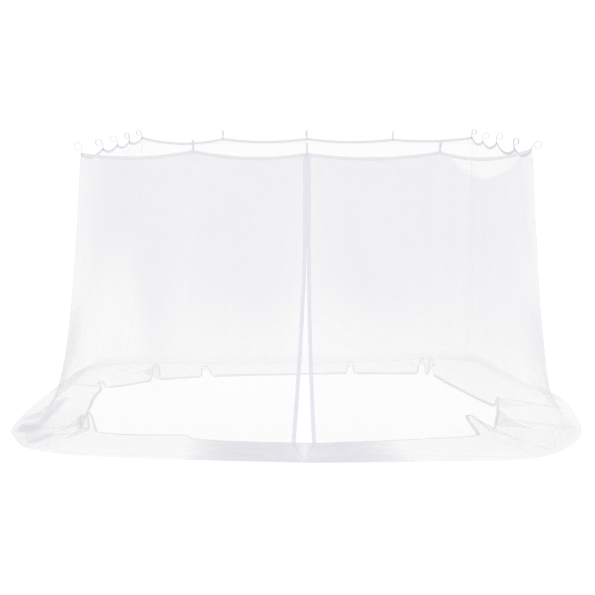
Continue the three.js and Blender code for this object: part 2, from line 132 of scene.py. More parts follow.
def makeObject(name, points, faces, material, shade=True):
    mesh = bpy.data.meshes.new(name)
    mesh.from_pydata([tuple(p) for p in points], [], faces)
    mesh.materials.append(material)
    if shade:
        mesh.shade_smooth()
    return inScene(name, mesh)


def faceOut(mesh, weld=0):
    shaped = bmesh.new()
    shaped.from_mesh(mesh)
    if weld:
        bmesh.ops.remove_doubles(shaped, verts=shaped.verts, dist=weld)
    bmesh.ops.recalc_face_normals(shaped, faces=shaped.faces)
    shaped.to_mesh(mesh)
    shaped.free()


def closedStrip(name, rings, material):  # rings of points joined one to the next, with closed ends
    long, wide = rings.shape[:2]
    n = np.arange(long * wide).reshape(long, wide)
    m = np.roll(n, -1, axis=1)
    faces = np.stack([n[:-1], n[1:], m[1:], m[:-1]], 2).reshape(-1, 4).tolist()
    faces += [n[0][::-1].tolist(), n[-1].tolist()]
    strip = makeObject(name, rings.reshape(-1, 3), faces, material)
    faceOut(strip.data)
    return strip


def store(mesh, name, values):  # a number or a vector for each point
    values = np.asarray(values, np.float32).ravel()
    kind, field = ("FLOAT_VECTOR", "vector") if len(values) == 3 * len(mesh.vertices) else ("FLOAT",
        "value")
    mesh.attributes.new(name, kind, "POINT").data.foreach_set(field, values)


# Camera
camera = {
    "back": 9.26, "height": 2.367, "tilt": 9.246,  # metres in front of the middle, up, degrees down
    "lens": 72.47, "shift": -0.0158,
}
cameraData = bpy.data.cameras.new("camera")
cameraData.lens = camera["lens"]
cameraData.shift_x = camera["shift"]
cameraData.clip_end = 200
scene.camera = inScene("camera", cameraData)
scene.camera.location = (middle[0], middle[1] - camera["back"], camera["height"])
scene.camera.rotation_euler = (math.radians(90 - camera["tilt"]), 0, 0)
print("camera placed")

# Shape of the hung net
# hooks: x, y, height, how far the heading sags before the next hook, way out of the wall,
# turn about the upright and lean outwards in degrees. They run round from the zip to the left.
hooks = [
    (0, -1.5, 2.047, 0.034, (0, -1), 0, 4), (-0.731, -1.5, 2.065, 0.032, (0, -1), 0, 8),
    (-1.454, -1.5, 2.047, 0.034, (-1, 0), 6, 2), (-1.458, -0.644, 2.048, 0.03, (-1, 0), -8, 14),
    (-1.461, 0.037, 2.052, 0.028, (-1, 0), 4, 9), (-1.464, 0.662, 2.054, 0.028, (-1, 0), 48, 4),
    (-1.469, 1.5, 2.066, 0.047, (-1, 0), -24, 22), (-0.748, 1.5, 2.056, 0.027, (0, 1), 0, 6),
    (0, 1.5, 2.056, 0.025, (0, 1), 6, 5), (0.766, 1.5, 2.05, 0.022, (0, 1), -5, 8),
    (1.472, 1.5, 2.066, 0.04, (1, 0), 30, 6), (1.466, 0.805, 2.054, 0.045, (1, 0), -4, 8),
    (1.459, 0.023, 2.069, 0.05, (1, 0), 5, 5), (1.452, -0.844, 2.052, 0.04, (1, 0), 32, -8),
    (1.446, -1.5, 2.076, 0.05, (1, 0), 4, 38), (0.857, -1.5, 2.058, 0.034, (0, -1), 0, 6),
    (0, -1.5, 2.047, 0, (0, -1), 0, 0),
]
# outer fold and hem on the floor: place round the net in hooks, x, y
foldTable = [
    (0, 0, -1.595), (1, -0.85, -1.525), (1.5, -1.3, -1.472), (1.8, -1.62, -1.408),
    (2, -1.799, -1.338), (2.3, -1.985, -1.215), (2.55, -2.09, -1.02), (2.8, -2.185, -0.763),
    (3.2, -2.2, -0.42), (4, -2.172, 0.12), (5, -2.122, 0.652), (5.5, -2.085, 1.031),
    (5.75, -1.96, 1.4), (6, -1.71, 1.555), (7, -0.925, 1.57), (8, 0, 1.57), (9, 0.8, 1.68),
    (9.5, 1.214, 1.789), (10, 1.49, 1.715), (10.3, 1.66, 1.5), (11, 1.85, 0.8),
    (11.3, 1.928, 0.582), (11.6, 2.023, 0.407), (12, 2.095, 0.091), (12.4, 2.092, -0.15),
    (13, 2.055, -0.633), (13.4, 1.98, -0.942), (13.7, 1.872, -1.158), (14, 1.705, -1.375),
    (14.3, 1.5, -1.505), (14.6, 1.28, -1.545), (15, 0.95, -1.566), (16, 0, -1.6),
]
hemTable = [
    (0, 0, -1.116), (0.55, -0.45, -1.07), (0.96, -0.828, -0.985), (1.04, -0.868, -0.907),
    (1.5, -1.18, -0.91), (1.9, -1.45, -0.862), (2.1, -1.565, -0.79), (2.35, -1.65, -0.7),
    (3, -1.69, -0.185), (4, -1.712, 0.2), (4.9, -1.7, 0.46), (5.15, -1.64, 0.535),
    (5.5, -1.47, 0.655), (5.88, -1.291, 0.802), (6.2, -1.205, 0.84), (7, -0.876, 0.935),
    (8, 0, 1.035), (8.5, 0.381, 1.055), (9.3, 1.016, 1.052), (9.7, 1.1, 0.985), (10.5, 1.185, 0.7),
    (12, 1.408, 0.045), (12.25, 1.475, -0.15), (13, 1.415, -0.52), (13.5, 1.37, -0.74),
    (13.85, 1.3, -0.85), (14.15, 1.235, -0.916), (15, 0.804, -1.014), (16, 0, -1.125),
]
# how the wall swings out to its foot: place, share of the travel that grows evenly down the drop,
# how late the rest of it comes. The corner seams hang straighter than the walls.
sweepTable = [
    (0, 0.25, 5), (1.5, 0.25, 4.5), (2, 0.56, 5), (2.5, 0.26, 5.5), (3, 0.28, 9), (4, 0.36, 12),
    (4.5, 0.38, 14), (5, 0.38, 14), (5.5, 0.38, 14), (6, 0.5, 6), (6.5, 0.28, 6), (7, 0.25, 5),
    (9, 0.25, 5), (9.5, 0.28, 6), (10, 0.48, 6), (10.5, 0.4, 12), (11, 0.4, 14), (11.5, 0.4, 14),
    (12, 0.36, 12), (13, 0.24, 8), (13.7, 0.38, 4.5), (14, 0.74, 5), (14.4, 0.25, 4),
    (14.8, 0.25, 5), (16, 0.25, 5),
]
# standing pleats of the hem: place, height, width at the floor, width at the crest, and how far
# the crest leans in x and y
pleats = [
    (2.08, 0.155, 0.062, 0.026, -0.03, 0.02), (2.42, 0.098, 0.058, 0.03, 0.01, 0),
    (5.0, 0.074, 0.054, 0.026, -0.035, 0), (5.88, 0.155, 0.064, 0.034, 0.006, 0),
    (7.0, 0.112, 0.086, 0.03, -0.016, 0), (8.5, 0.138, 0.06, 0.028, 0, 0),
    (9.3, 0.17, 0.058, 0.024, 0.004, 0), (9.62, 0.176, 0.056, 0.03, -0.006, 0),
    (12.25, 0.1, 0.062, 0.03, 0.014, 0), (13.42, 0.16, 0.07, 0.034, 0.02, 0),
    (13.94, 0.162, 0.078, 0.076, -0.15, 0),
]
# long folds of the walls: place, width in bays, depth out of the wall, drift round the net from
# top to floor, start and end as shares of the drop
wallFolds = [
    (0.35, 0.16, 0.014, 0.45, 0.05, 0.9), (0.8, 0.18, -0.012, 0.5, 0.1, 1),
    (1.1, 0.2, 0.012, 0.3, 0, 0.8), (1.75, 0.14, 0.01, 0, 0.1, 1),
    (2.25, 0.13, 0.008, 0.05, 0, 1), (2.6, 0.14, -0.008, 0.05, 0, 1), (3.0, 0.16, 0.007, 0, 0, 1),
    (3.5, 0.16, -0.006, 0, 0.05, 1), (4.1, 0.18, 0.006, 0, 0, 0.95), (5.1, 0.18, 0.006, 0.1, 0, 0.9),
    (6.7, 0.2, 0.012, 0, 0, 0.9), (7.6, 0.2, -0.011, -0.1, 0.1, 0.95), (8.6, 0.2, 0.011, 0, 0, 0.9),
    (9.4, 0.18, -0.012, -0.2, 0.1, 1), (10.8, 0.18, 0.007, 0, 0, 1), (11.5, 0.16, -0.006, 0, 0.05, 1),
    (12.2, 0.16, 0.007, 0, 0, 1), (12.75, 0.14, -0.007, 0.05, 0, 1), (13.3, 0.14, 0.009, 0.05, 0, 1),
    (13.7, 0.12, -0.008, 0.05, 0, 1), (14.45, 0.2, 0.02, -0.12, 0.03, 0.75),
    (15.65, 0.16, 0.014, -0.4, 0.05, 0.9),
]
netForm = {
    # folds fade out over these shares: of the drop and of a bay, and of the drop at its ends
    "foldFade": 0.15, "edgeFade": 0.12,
    "floorLayer": 0.001, "bendReach": 0.035,        # metres: its height, its bend at the foot
    "floorClosing": 9, "pleatFade": 4.2,            # how late the leaves part, the pleats rise
    "planReach": 0.02,                              # bays each way for a direction round the net
    # the front is zipped down to a height; below it each leaf is drawn aside, more and more
    "zipClosedTo": 1.463, "openLeft": 0.085, "leftPace": 1.35, "openRight": 0.042, "rightPace": 2.0,
    # bays over which that fades, where the leaves meet again, heights between which they do
    "openFade": 0.45, "meetAt": -0.018, "shutLow": 0.03, "shutHigh": 0.14,
    "crumpleShare": 0.88,                           # share of the floor layer with ridges
    "zipTape": 0.025, "zipGap": 0.0003, "netGap": 0.0006, "bindingHalf": 0.0011,    # metres
}
hookAt = np.array([h[:4] for h in hooks], float)
lastHook = len(hooks) - 1
bayLength = np.linalg.norm(np.diff(hookAt[:, :2], axis=0), axis=1)
leftBay, rightBay = -hooks[1][0], hooks[-2][0]      # the bays beside the zip
foldX, foldY = (curveThrough(foldTable, n) for n in (1, 2))
hemX, hemY = (curveThrough(hemTable, n) for n in (1, 2))
sweepEven, sweepPower = (curveThrough(sweepTable, n) for n in (1, 2))


def topEdge(u):
    i = np.clip(np.floor(u).astype(int), 0, lastHook - 1)
    k = (u - i)[:, None]
    points = hookAt[i, :3] * (1 - k) + hookAt[i + 1, :3] * k
    points[:, 2] -= hookAt[i, 3] * 4 * k[:, 0] * (1 - k[:, 0])
    return points


def openedBy(u, z):  # how far each leaf's edge is drawn aside; the leaves shut again at the floor
    drawn = np.clip((netForm["zipClosedTo"] - z) / netForm["zipClosedTo"], 0, 1)
    shut = 1 - smooth(z, netForm["shutLow"], netForm["shutHigh"])
    left = -netForm["openLeft"] * drawn ** netForm["leftPace"] * (1 - shut) + netForm["meetAt"] * shut
    right = netForm["openRight"] * drawn ** netForm["rightPace"] * (1 - shut) + netForm["meetAt"] * shut
    left = left * hump(u, netForm["openFade"])
    return left + right * hump(lastHook - u, netForm["openFade"])


def outward(u):
    reach = netForm["planReach"]
    run = topEdge(np.clip(u + reach, 0, lastHook)) - topEdge(np.clip(u - reach, 0, lastHook))
    return unit(np.stack([-run[:, 1], run[:, 0], 0 * u], 1))


def foldDepth(u, t):
    depth = np.zeros(len(u))
    for at, width, deep, lean, start, end in wallFolds:
        along = np.clip((t - start) / netForm["foldFade"], 0, 1)
        along = along * np.clip((end - t) / netForm["foldFade"] + 1, 0, 1)
        depth += deep * along * hump(u - at - lean * t, width)
    beside = np.clip(np.minimum(u, lastHook - u) / netForm["foldFade"], 0, 1)
    edge = netForm["edgeFade"]
    return depth * beside * np.clip(t / edge, 0, 1) * np.clip((1 - t) / edge, 0, 1)


def foldLine(u):
    return np.stack([foldX(u) + openedBy(u, 0), foldY(u), 0 * u + netForm["floorLayer"]], 1)


def hemLine(u):
    return np.stack([hemX(u), hemY(u), 0 * u + netForm["floorLayer"]], 1)


def wallPoint(u, t):
    top = topEdge(u)
    even = sweepEven(u)
    share = even * t + (1 - even) * t ** sweepPower(u)
    z = top[:, 2] * (1 - t) + netForm["floorLayer"] * t
    x = top[:, 0] * (1 - share) + foldX(u) * share + openedBy(u, z)
    y = top[:, 1] * (1 - share) + foldY(u) * share
    return np.stack([x, y, z], 1) + outward(u) * foldDepth(u, t)[:, None]


def hemPace(at):  # metres of hem for each bay
    ends = hemLine(np.array([at - netForm["planReach"], at + netForm["planReach"]]))
    return float(np.linalg.norm(ends[1] - ends[0])) / (2 * netForm["planReach"])


def floorPoint(u, f):  # the leaves meet again on the floor
    points = foldLine(u) * (1 - f)[:, None] + hemLine(u) * f[:, None]
    closing = (1 - f) ** netForm["floorClosing"]
    besideZip = hump(np.minimum(u, lastHook - u), netForm["openFade"])
    points[:, 0] += openedBy(u, 0) * (closing - (1 - f)) + netForm["meetAt"] * besideZip * (1 - closing)
    return points


def floorLength(u):
    return np.linalg.norm(hemLine(u) - foldLine(u), axis=1)


# Grid of the whole cloth: columns round the net, rows from the heading to the hem
cloth = {
    "columnPitch": 0.016, "wallRows": 116, "closeTop": 0.45, "bendRows": 9, "floorRows": 34,
    # rows at the heading, metres down from it, and at the hem, metres in from it
    "headRows": (0, 0.009, 0.018, 0.02, 0.028, 0.04, 0.055, 0.075, 0.1), "headEnd": 0.12,
    "hemStart": 0.06, "hemRows": (0.048, 0.036, 0.028, 0.02, 0.018, 0.012, 0.006, 0),
    # columns at a pleat: heights on its flanks
    "flankRows": (0.005, 0.04, 0.12, 0.25, 0.4, 0.6, 0.8, 0.92, 0.98),
    "pleatSharpness": 5, "mouthFlare": 0.55, "mouthDroop": 0.14, "mouthReach": 0.045,
    "gather": 1.12,         # cloth cut wider than the heading that it is gathered on
    # hem rolled up: place, height
    "rollWidth": 0.032, "roll": [(0, 0.005), (0.8, 0.006), (1.3, 0.009), (2, 0.009), (6, 0.011),
                                 (10, 0.011), (14, 0.009), (15, 0.008), (15.5, 0.006), (16, 0.005)],
}
leftTape, rightTape = netForm["zipTape"] / leftBay, lastHook - netForm["zipTape"] / rightBay
leftNet = (netForm["zipTape"] + netForm["netGap"]) / leftBay
rightNet = lastHook - (netForm["zipTape"] + netForm["netGap"]) / rightBay


def pleatHalf(pleat):
    return (pleat[2] + pleat[3]) / 4


def placesRound():  # columns at seams, hooks and the flanks of pleats, and evenly between them
    ends = netForm["zipGap"] / leftBay, lastHook - netForm["zipGap"] / rightBay
    fixed = [*ends, leftTape, leftNet, rightNet, rightTape, *range(1, lastHook)]
    for pleat in pleats:
        half = pleatHalf(pleat) / hemPace(pleat[0])
        for level in cloth["flankRows"]:
            off = half * (-math.log(level)) ** (1 / cloth["pleatSharpness"])
            fixed += [pleat[0] + off * n for n in (-1.4, -1, 1, 1.4)]
        fixed.append(pleat[0])
    fixed = np.unique(np.round([u for u in fixed if ends[0] <= u <= ends[1]], 6))
    places = [fixed[0]]
    for a, b in zip(fixed[:-1], fixed[1:]):
        wide = (b - a) * bayLength[min(int(a), lastHook - 1)]
        parts = max(1, round(wide / cloth["columnPitch"]))
        places += [a + (b - a) * n / parts for n in range(1, parts + 1)]
    return np.array(places)


def clothRows(u):  # rows of points, and the rows at which the wall ends and the floor layer starts
    z, length = topEdge(u)[:, 2], floorLength(u)
    rows = [wallPoint(u, drop / z) for drop in cloth["headRows"]]
    start, end = cloth["headEnd"] / z, 1 - netForm["bendReach"] / z
    for k in np.linspace(0, 1, cloth["wallRows"]):
        rows.append(wallPoint(u, start + (end - start) * k * (1 - cloth["closeTop"] * (1 - k))))
    wallEnd = len(rows)
    first, last = netForm["bendReach"] / length, 1 - cloth["hemStart"] / length
    a, corner, c = rows[-1], foldLine(u), floorPoint(u, first)
    for k in np.linspace(0, 1, cloth["bendRows"] + 1)[1:-1]:
        rows.append(a * (1 - k) ** 2 + corner * 2 * k * (1 - k) + c * k * k)
    floorStart = len(rows)
    rows += [floorPoint(u, first + (last - first) * k) for k in np.linspace(0, 1, cloth["floorRows"])]
    rows += [floorPoint(u, 1 - reach / length) for reach in cloth["hemRows"]]
    return np.stack(rows, 1), wallEnd, floorStart


def normalsOf(points):
    return unit(np.cross(np.gradient(points, axis=0), np.gradient(points, axis=1)))


around = placesRound()
grid, wallEnd, floorStart = clothRows(around)
allRows = np.arange(grid.shape[1])
lastRow = allRows[-1]
runDown = runAlong(grid)
toHem = runDown[:, -1:] - runDown
fall = toHem - floorLength(around)[:, None]     # cloth left down to the floor
bays = np.repeat(around[:, None], len(allRows), 1)
bayWide = bayLength[np.clip(bays.astype(int), 0, lastHook - 1)]

# Small drape of the walls: depth in metres, folds in a bay, changes in a metre of drop
drape = {
    "stray": (2.5, 3, 0.5), "streaks": (0.005, 7, 0.9), "fineStreaks": (0.0022, 17, 1.8),
    "fan": 0.006, "fanReach": 0.26, "fanRays": 9,
    "landing": (0.009, 9, 6), "landingAt": 0.12, "landingReach": 0.1,
    "sideCalm": 0.6,        # how much smoother the side walls hang
    "calmWalls": [(2.02, 5.9, 0.2), (10.1, 13.98, 0.2)],       # from, to, fade
    "topFade": (0.02, 0.09), "footFade": (0, 0.05), "zipFade": (0.02, 0.18),
    # close upright folds: from, to, depth, folds in a bay
    "gathers": [(2.05, 6, 0.001, 8), (10, 13.95, 0.001, 8), (14.05, 15.15, 0.005, 12)],
    "swagTop": 0.015,       # metres from the heading down to the ends of a swag
    # swags under the heading: from, to, depth below it, how far it stands out, half width
    "swags": [(14.08, 14.9, 0.14, 0.004, 0.03), (15, 16, 0.05, 0.006, 0.03),
              (0, 1, 0.05, 0.006, 0.03), (1, 2, 0.06, 0.006, 0.03), (2, 3, 0.08, 0.012, 0.03),
              (5, 6, 0.07, 0.01, 0.03), (7, 8, 0.05, 0.006, 0.03), (9, 10, 0.06, 0.007, 0.03),
              (11, 12, 0.07, 0.01, 0.03), (13, 14, 0.09, 0.014, 0.03)],
}


def between(start, end, fade):  # 1 inside a stretch of the net, fading out at its ends
    return smooth(bays, start, start + fade) * (1 - smooth(bays, end - fade, end))


def swell(size, shift=0, lift=0):  # uneven folds of a depth, number in a bay and change in a metre
    return size[0] * rumple(bays * size[1] + shift, runDown * size[2] + lift)


stray = swell(drape["stray"], 1)        # keeps the streaks from lying evenly
rise = swell(drape["streaks"], stray, 3) + swell(drape["fineStreaks"], 3 * stray + 9)
for start, end, deep, count in drape["gathers"]:
    rise += between(start, end, 0.25) * swell((deep, count, 0.35), 5, 2)
for n in range(lastHook + 1):
    side = (bays - n) * bayWide
    ray = np.cos(drape["fanRays"] * np.arctan2(side, runDown + 0.02))
    rise += drape["fan"] * hump(np.hypot(side, runDown), drape["fanReach"]) * ray
for start, end, depth, out, half in drape["swags"]:
    k = np.clip((bays - start) / (end - start), 0, 1)
    bow = 4 * k * (1 - k)
    rise += out * np.sqrt(bow) * hump(runDown - drape["swagTop"] - depth * bow, half)
rise += swell(drape["landing"]) * hump(fall - drape["landingAt"], drape["landingReach"])
calm = np.maximum(*(between(*wall) for wall in drape["calmWalls"]))
rise *= smooth(runDown, *drape["topFade"]) * smooth(fall, *drape["footFade"])
rise *= smooth(np.minimum(bays, lastHook - bays), *drape["zipFade"]) * (allRows < wallEnd)
rise *= 1 - drape["sideCalm"] * calm
grid += normalsOf(grid) * rise[:, :, None]

# Floor layer: crumples, creases, standing pleats and the curl of the hem
floorDrape = {
    "crumple": (0.004, 9), "fineCrumple": (0.0015, 24),     # height, crumples in a metre
    # ridges along the front beside the zip: from, to, height, how many
    "ridges": [(-0.2, 1.15, 0.014, 3), (14.9, 16.2, 0.014, 3)],
    # sharp creases: start x and y, end x and y, height, half width, share that the doubled
    # cloth covers
    "creases": [
        (-2.12, -0.74, -1.94, -0.7, 0.005, 0.12, 0.86), (-2.16, -0.82, -1.94, -0.79, 0.004, 0.06, 0.8),
        (-2.12, -0.52, -2.02, -0.27, 0.005, 0.055, 0.52), (-2.03, -0.27, -1.97, 0.1, 0.004, 0.06, 0.42),
        (-1.95, -1.13, -1.83, -0.89, 0.004, 0.06, 0.66), (-1.82, -0.93, -1.66, -0.86, 0.003, 0.036, 0.46),
        (-1.94, -0.76, -1.7, -0.67, 0.003, 0.036, 0.5), (-1.95, 0.2, -1.985, -0.62, 0.003, 0.042, 0.6),
        (-2.06, 0.72, -1.76, 0.54, 0.003, 0.06, 0.34), (-1.7, -0.52, -1.64, -0.78, 0.006, 0.042, 0.7),
        (1.8, -0.69, 2.02, -0.74, 0.003, 0.05, 0.5), (1.47, -0.47, 1.99, -0.75, 0.002, 0.06, 0.36),
        (1.31, -0.9, 1.6, -1.16, 0.002, 0.038, 0.38), (1.6, -1.16, 1.7, -1.37, 0.002, 0.034, 0.42),
        (1.32, -0.94, 1.55, -1.41, 0.001, 0.038, 0.26), (1.56, 0.16, 2.02, -0.17, 0.002, 0.06, 0.34),
        (-1.75, 1.25, -1.42, 0.95, 0.002, 0.06, 0.3), (-1.45, 1.3, -1, 1.2, 0.002, 0.06, 0.28),
        (-1.43, -1.37, -0.8, -1.46, 0.001, 0.03, 0.24), (0.6, -1.43, 1.46, -1.46, 0.001, 0.03, 0.24),
        (0.95, 1.62, 1, 1.2, 0.002, 0.05, 0.28),
    ],
    "pleatCover": 0.2,
    "grows": (0.02, 0.16),              # shares of the layer over which the relief begins
    "hemCalm": (0.01, 0.06, 0.2),       # metres from the hem, and how much is left at it
}
floorShare = 1 - toHem / np.maximum(floorLength(around)[:, None], 1e-6)
onFloor = (allRows >= floorStart) * smooth(floorShare, *floorDrape["grows"])
x, y = grid[:, :, 0].copy(), grid[:, :, 1].copy()
lift = 0
for height, count in (floorDrape["crumple"], floorDrape["fineCrumple"]):
    lift = lift + height * (1 + rumple(x * count, y * count))
near, far, left = floorDrape["hemCalm"]
lift *= smooth(toHem, near, far) * (1 - left) + left
for start, end, height, count in floorDrape["ridges"]:
    fade = np.clip(np.minimum(bays - start, end - bays) / 0.5, 0, 1)
    across = np.clip(floorShare / netForm["crumpleShare"], 0, 1)
    wander = 0.12 * rumple(bays * 5, floorShare * 3)
    wave = np.sin(np.pi * count * np.clip(across + wander * across * (1 - across) * 4, 0, 1)) ** 2
    lift += height * fade * wave * (0.8 + 0.3 * rumple(bays * 6 + 4, floorShare * 4))
doubled = np.zeros_like(bays)   # share covered where creases double the cloth
for ax, ay, bx, by, height, half, share in floorDrape["creases"]:
    long = math.hypot(bx - ax, by - ay)
    wx, wy = (bx - ax) / long, (by - ay) / long
    s = (x - ax) * wx + (y - ay) * wy
    near = hump((y - ay) * wx - (x - ax) * wy, half)
    near *= smooth(s, -0.05, 0.06) * (1 - smooth(s, long - 0.06, long + 0.05))
    lift += height * near
    doubled = np.maximum(doubled, share * near)
mouth = 1 - smooth(toHem, 0, cloth["mouthReach"])
for pleat in pleats:
    half = pleatHalf(pleat) * (1 + cloth["mouthFlare"] * mouth)
    bell = np.exp(-(np.abs(bays - pleat[0]) * hemPace(pleat[0]) / half) ** cloth["pleatSharpness"])
    bell *= np.clip(floorShare, 0, 1) ** netForm["pleatFade"] * (1 - cloth["mouthDroop"] * mouth)
    lift += pleat[1] * bell
    for axis in (0, 1):
        grid[:, :, axis] += pleat[4 + axis] * bell * onFloor
    doubled = np.maximum(doubled, floorDrape["pleatCover"] * bell)
rolled = curveThrough(cloth["roll"], 1)(around)[:, None] * (1 + 0.3 * rumple(bays * 6 + 2, 0))
lift += rolled * np.sin(np.pi * np.clip(toHem / cloth["rollWidth"], 0, 1))
grid[:, :, 2] += lift * onFloor
grid += middle
normals = normalsOf(grid)
print("cloth shaped:", grid.shape[0], "columns,", grid.shape[1], "rows")

# Materials
finish = {
    "net": "#ebeaf1", "netShade": "#e4e3eb", "netSheer": "#ebebec",
    "heading": "#f3f2f7", "headingShade": "#e9e8ef", "hem": "#fdfcff", "hemShade": "#f6f5fa",
    "zipTape": "#eff0f7", "zipTapeShade": "#eaebf2", "coil": "#ffffff", "thread": "#f8f7fa",
    "hook": "#ededee", "hookShade": "#dfdfe1", "slider": "#ffffff", "sliderWorn": "#e9e9ed",
}


def newMaterial(name):
    material = bpy.data.materials.new(name)
    material.use_nodes = True
    tree = material.node_tree
    return material, tree, tree.nodes["Principled BSDF"]


def threadGrid(tree, place, pitch):  # two crossing sets of soft lines, pitch in metres
    waves = [addNode(tree, "ShaderNodeTexWave", {
        "wave_type": "BANDS", "bands_direction": direction, "Scale": math.pi / 10 / pitch,
        "Distortion": 0.8, "Detail": 1.0, "Detail Scale": 0.6,
        "Vector": place}).outputs["Fac"] for direction in ("X", "Y")]
    return addNode(tree, "ShaderNodeMath", {"operation": "MAXIMUM", 0: waves[0], 1: waves[1]})


# Knitted polyester netting, warp knitted from fine white filament and heat set: sheer and matt,
# with a square mesh and slightly thicker courses. The real holes are about 1.6 mm, too fine to
# show, so the mesh is drawn at 5 mm and its courses at 17 mm. The share that the threads cover
# comes from the cloth's own attribute.
netPattern = {
    "mesh": 0.005, "courses": 0.017,        # metres
    # how far each pattern thins and thickens the threads
    "meshShare": (0.8, 1.14), "courseShare": (0.965, 1.03), "patchShare": (0.965, 1.035),
    "violetFrom": 0.19, "violetTo": 0.46,   # cover between which gathered cloth turns violet
}
netMaterial, tree, shader = newMaterial("knittedPolyesterNetting")
place = addNode(tree, "ShaderNodeAttribute", {"attribute_name": "clothPlace"}).outputs["Vector"]
cover = addNode(tree, "ShaderNodeAttribute", {"attribute_name": "cover"}).outputs["Fac"]
holes, courses = (threadGrid(tree, place, netPattern[n]) for n in ("mesh", "courses"))
stretched = addNode(tree, "ShaderNodeMapping", {"Scale": (2.2, 0.5, 1), "Vector": place})
patches = addNode(tree, "ShaderNodeTexNoise", {
    "Scale": 5.0, "Detail": 3.0, "Roughness": 0.6, "Vector": stretched})
uneven = None
for pattern, low, high, swing in ((holes, 0, 1, "meshShare"), (courses, 0, 1, "courseShare"),
                                  (patches, 0.3, 0.7, "patchShare")):
    least, most = netPattern[swing]
    change = addNode(tree, "ShaderNodeMapRange", {
        "From Min": low, "From Max": high, "To Min": least, "To Max": most, "Value": pattern})
    if uneven:
        change = addNode(tree, "ShaderNodeMath", {"operation": "MULTIPLY", 0: uneven, 1: change})
    uneven = change
# dense cloth shows less of the pattern
loose = addNode(tree, "ShaderNodeMath", {"operation": "SUBTRACT", 0: 1.0, 1: cover})
offset = addNode(tree, "ShaderNodeMath", {"operation": "SUBTRACT", 1: 1.0, 0: uneven})
faded = addNode(tree, "ShaderNodeMath", {"operation": "MULTIPLY_ADD", 2: 1.0, 0: offset, 1: loose})
share = addNode(tree, "ShaderNodeMath", {"operation": "MULTIPLY", "use_clamp": True, 0: cover, 1: faded})
# gathered cloth looks violet, single cloth neutral
dyed = addNode(tree, "ShaderNodeMix", {
    "data_type": "RGBA", 6: linear(finish["netShade"]), 7: linear(finish["net"]), 0: courses})
gathered = addNode(tree, "ShaderNodeMapRange", {
    "From Min": netPattern["violetFrom"], "From Max": netPattern["violetTo"], "Value": cover})
colour = addNode(tree, "ShaderNodeMix", {
    "data_type": "RGBA", 6: linear(finish["netSheer"]), 0: gathered, 7: dyed.outputs[2]})
bump = addNode(tree, "ShaderNodeBump", {"Strength": 0.3, "Distance": 0.0006, "Height": courses})
setNode(tree, shader, {
    "Roughness": 0.75, "Specular IOR Level": 0.25, "Sheen Weight": 0.15,
    "Base Color": colour.outputs[2], "Alpha": share, "Normal": bump})


def tapeMaterial(name, light, dark, pitch, roughness, cover=1.0):
    # Woven polyester tape: close plain weave in ribs, matt with a slight sheen on the ribs. The
    # real yarns are about 0.5 mm, drawn at the pitch given in metres so that they can show.
    # Cover is a share, or None where the piece has its own.
    material, tree, shader = newMaterial(name)
    place = addNode(tree, "ShaderNodeAttribute", {"attribute_name": "clothPlace"}).outputs["Vector"]
    weave = threadGrid(tree, place, pitch)
    soil = addNode(tree, "ShaderNodeTexNoise", {"Scale": 30.0, "Detail": 4.0, "Vector": place})
    tone = addNode(tree, "ShaderNodeMath", {"operation": "MULTIPLY_ADD", 1: 0.6, 2: 0.0, 0: weave})
    tone = addNode(tree, "ShaderNodeMath", {
        "operation": "MULTIPLY_ADD", 1: 0.5, "use_clamp": True, 0: soil, 2: tone})
    mix = addNode(tree, "ShaderNodeMix", {
        "data_type": "RGBA", 6: linear(finish[dark]), 7: linear(finish[light]), 0: tone})
    bump = addNode(tree, "ShaderNodeBump", {"Strength": 0.5, "Distance": 0.0005, "Height": weave})
    if cover is None:
        cover = addNode(tree, "ShaderNodeAttribute", {"attribute_name": "cover"}).outputs["Fac"]
    setNode(tree, shader, {
        "Roughness": roughness, "Sheen Weight": 0.2, "Specular IOR Level": 0.3,
        "Base Color": mix.outputs[2], "Alpha": cover, "Normal": bump})
    return material


headingMaterial = tapeMaterial("wovenHeadingBinding", "heading", "headingShade", 0.0025, 0.75)
hemMaterial = tapeMaterial("thinHemBinding", "hem", "hemShade", 0.0025, 0.75, 0.82)
zipTapeMaterial = tapeMaterial("wovenZipTape", "zipTape", "zipTapeShade", 0.003, 0.65, None)


def mouldedMaterial(name, light, dark, scale, roughness, coat=0.0):
    # Moulded plastic or enamel: near white and smooth, with faint flow marks and a fine grain in
    # the gloss.
    material, tree, shader = newMaterial(name)
    place = addNode(tree, "ShaderNodeTexCoord").outputs["Object"]
    flow = addNode(tree, "ShaderNodeTexNoise", {"Scale": scale, "Detail": 3.0, "Vector": place})
    grit = addNode(tree, "ShaderNodeTexNoise", {"Scale": 900.0, "Detail": 2.0, "Vector": place})
    mix = addNode(tree, "ShaderNodeMix", {
        "data_type": "RGBA", 6: linear(finish[dark]), 7: linear(finish[light]), 0: flow})
    rough = addNode(tree, "ShaderNodeMapRange", {
        "To Min": roughness - 0.06, "To Max": roughness + 0.08, "Value": flow})
    bump = addNode(tree, "ShaderNodeBump", {"Strength": 0.08, "Distance": 0.0003, "Height": grit})
    setNode(tree, shader, {
        "Coat Weight": coat, "Base Color": mix.outputs[2], "Roughness": rough, "Normal": bump})
    return material


hookMaterial = mouldedMaterial("mouldedPolypropylene", "hook", "hookShade", 60.0, 0.42)
sliderMaterial = mouldedMaterial("enamelledZinc", "slider", "sliderWorn", 220.0, 0.3, 0.3)
coilMaterial = mouldedMaterial("nylonZipCoil", "coil", "zipTape", 300.0, 0.4)
threadMaterial = mouldedMaterial("spunPolyesterThread", "thread", "heading", 500.0, 0.7)
print("materials made")

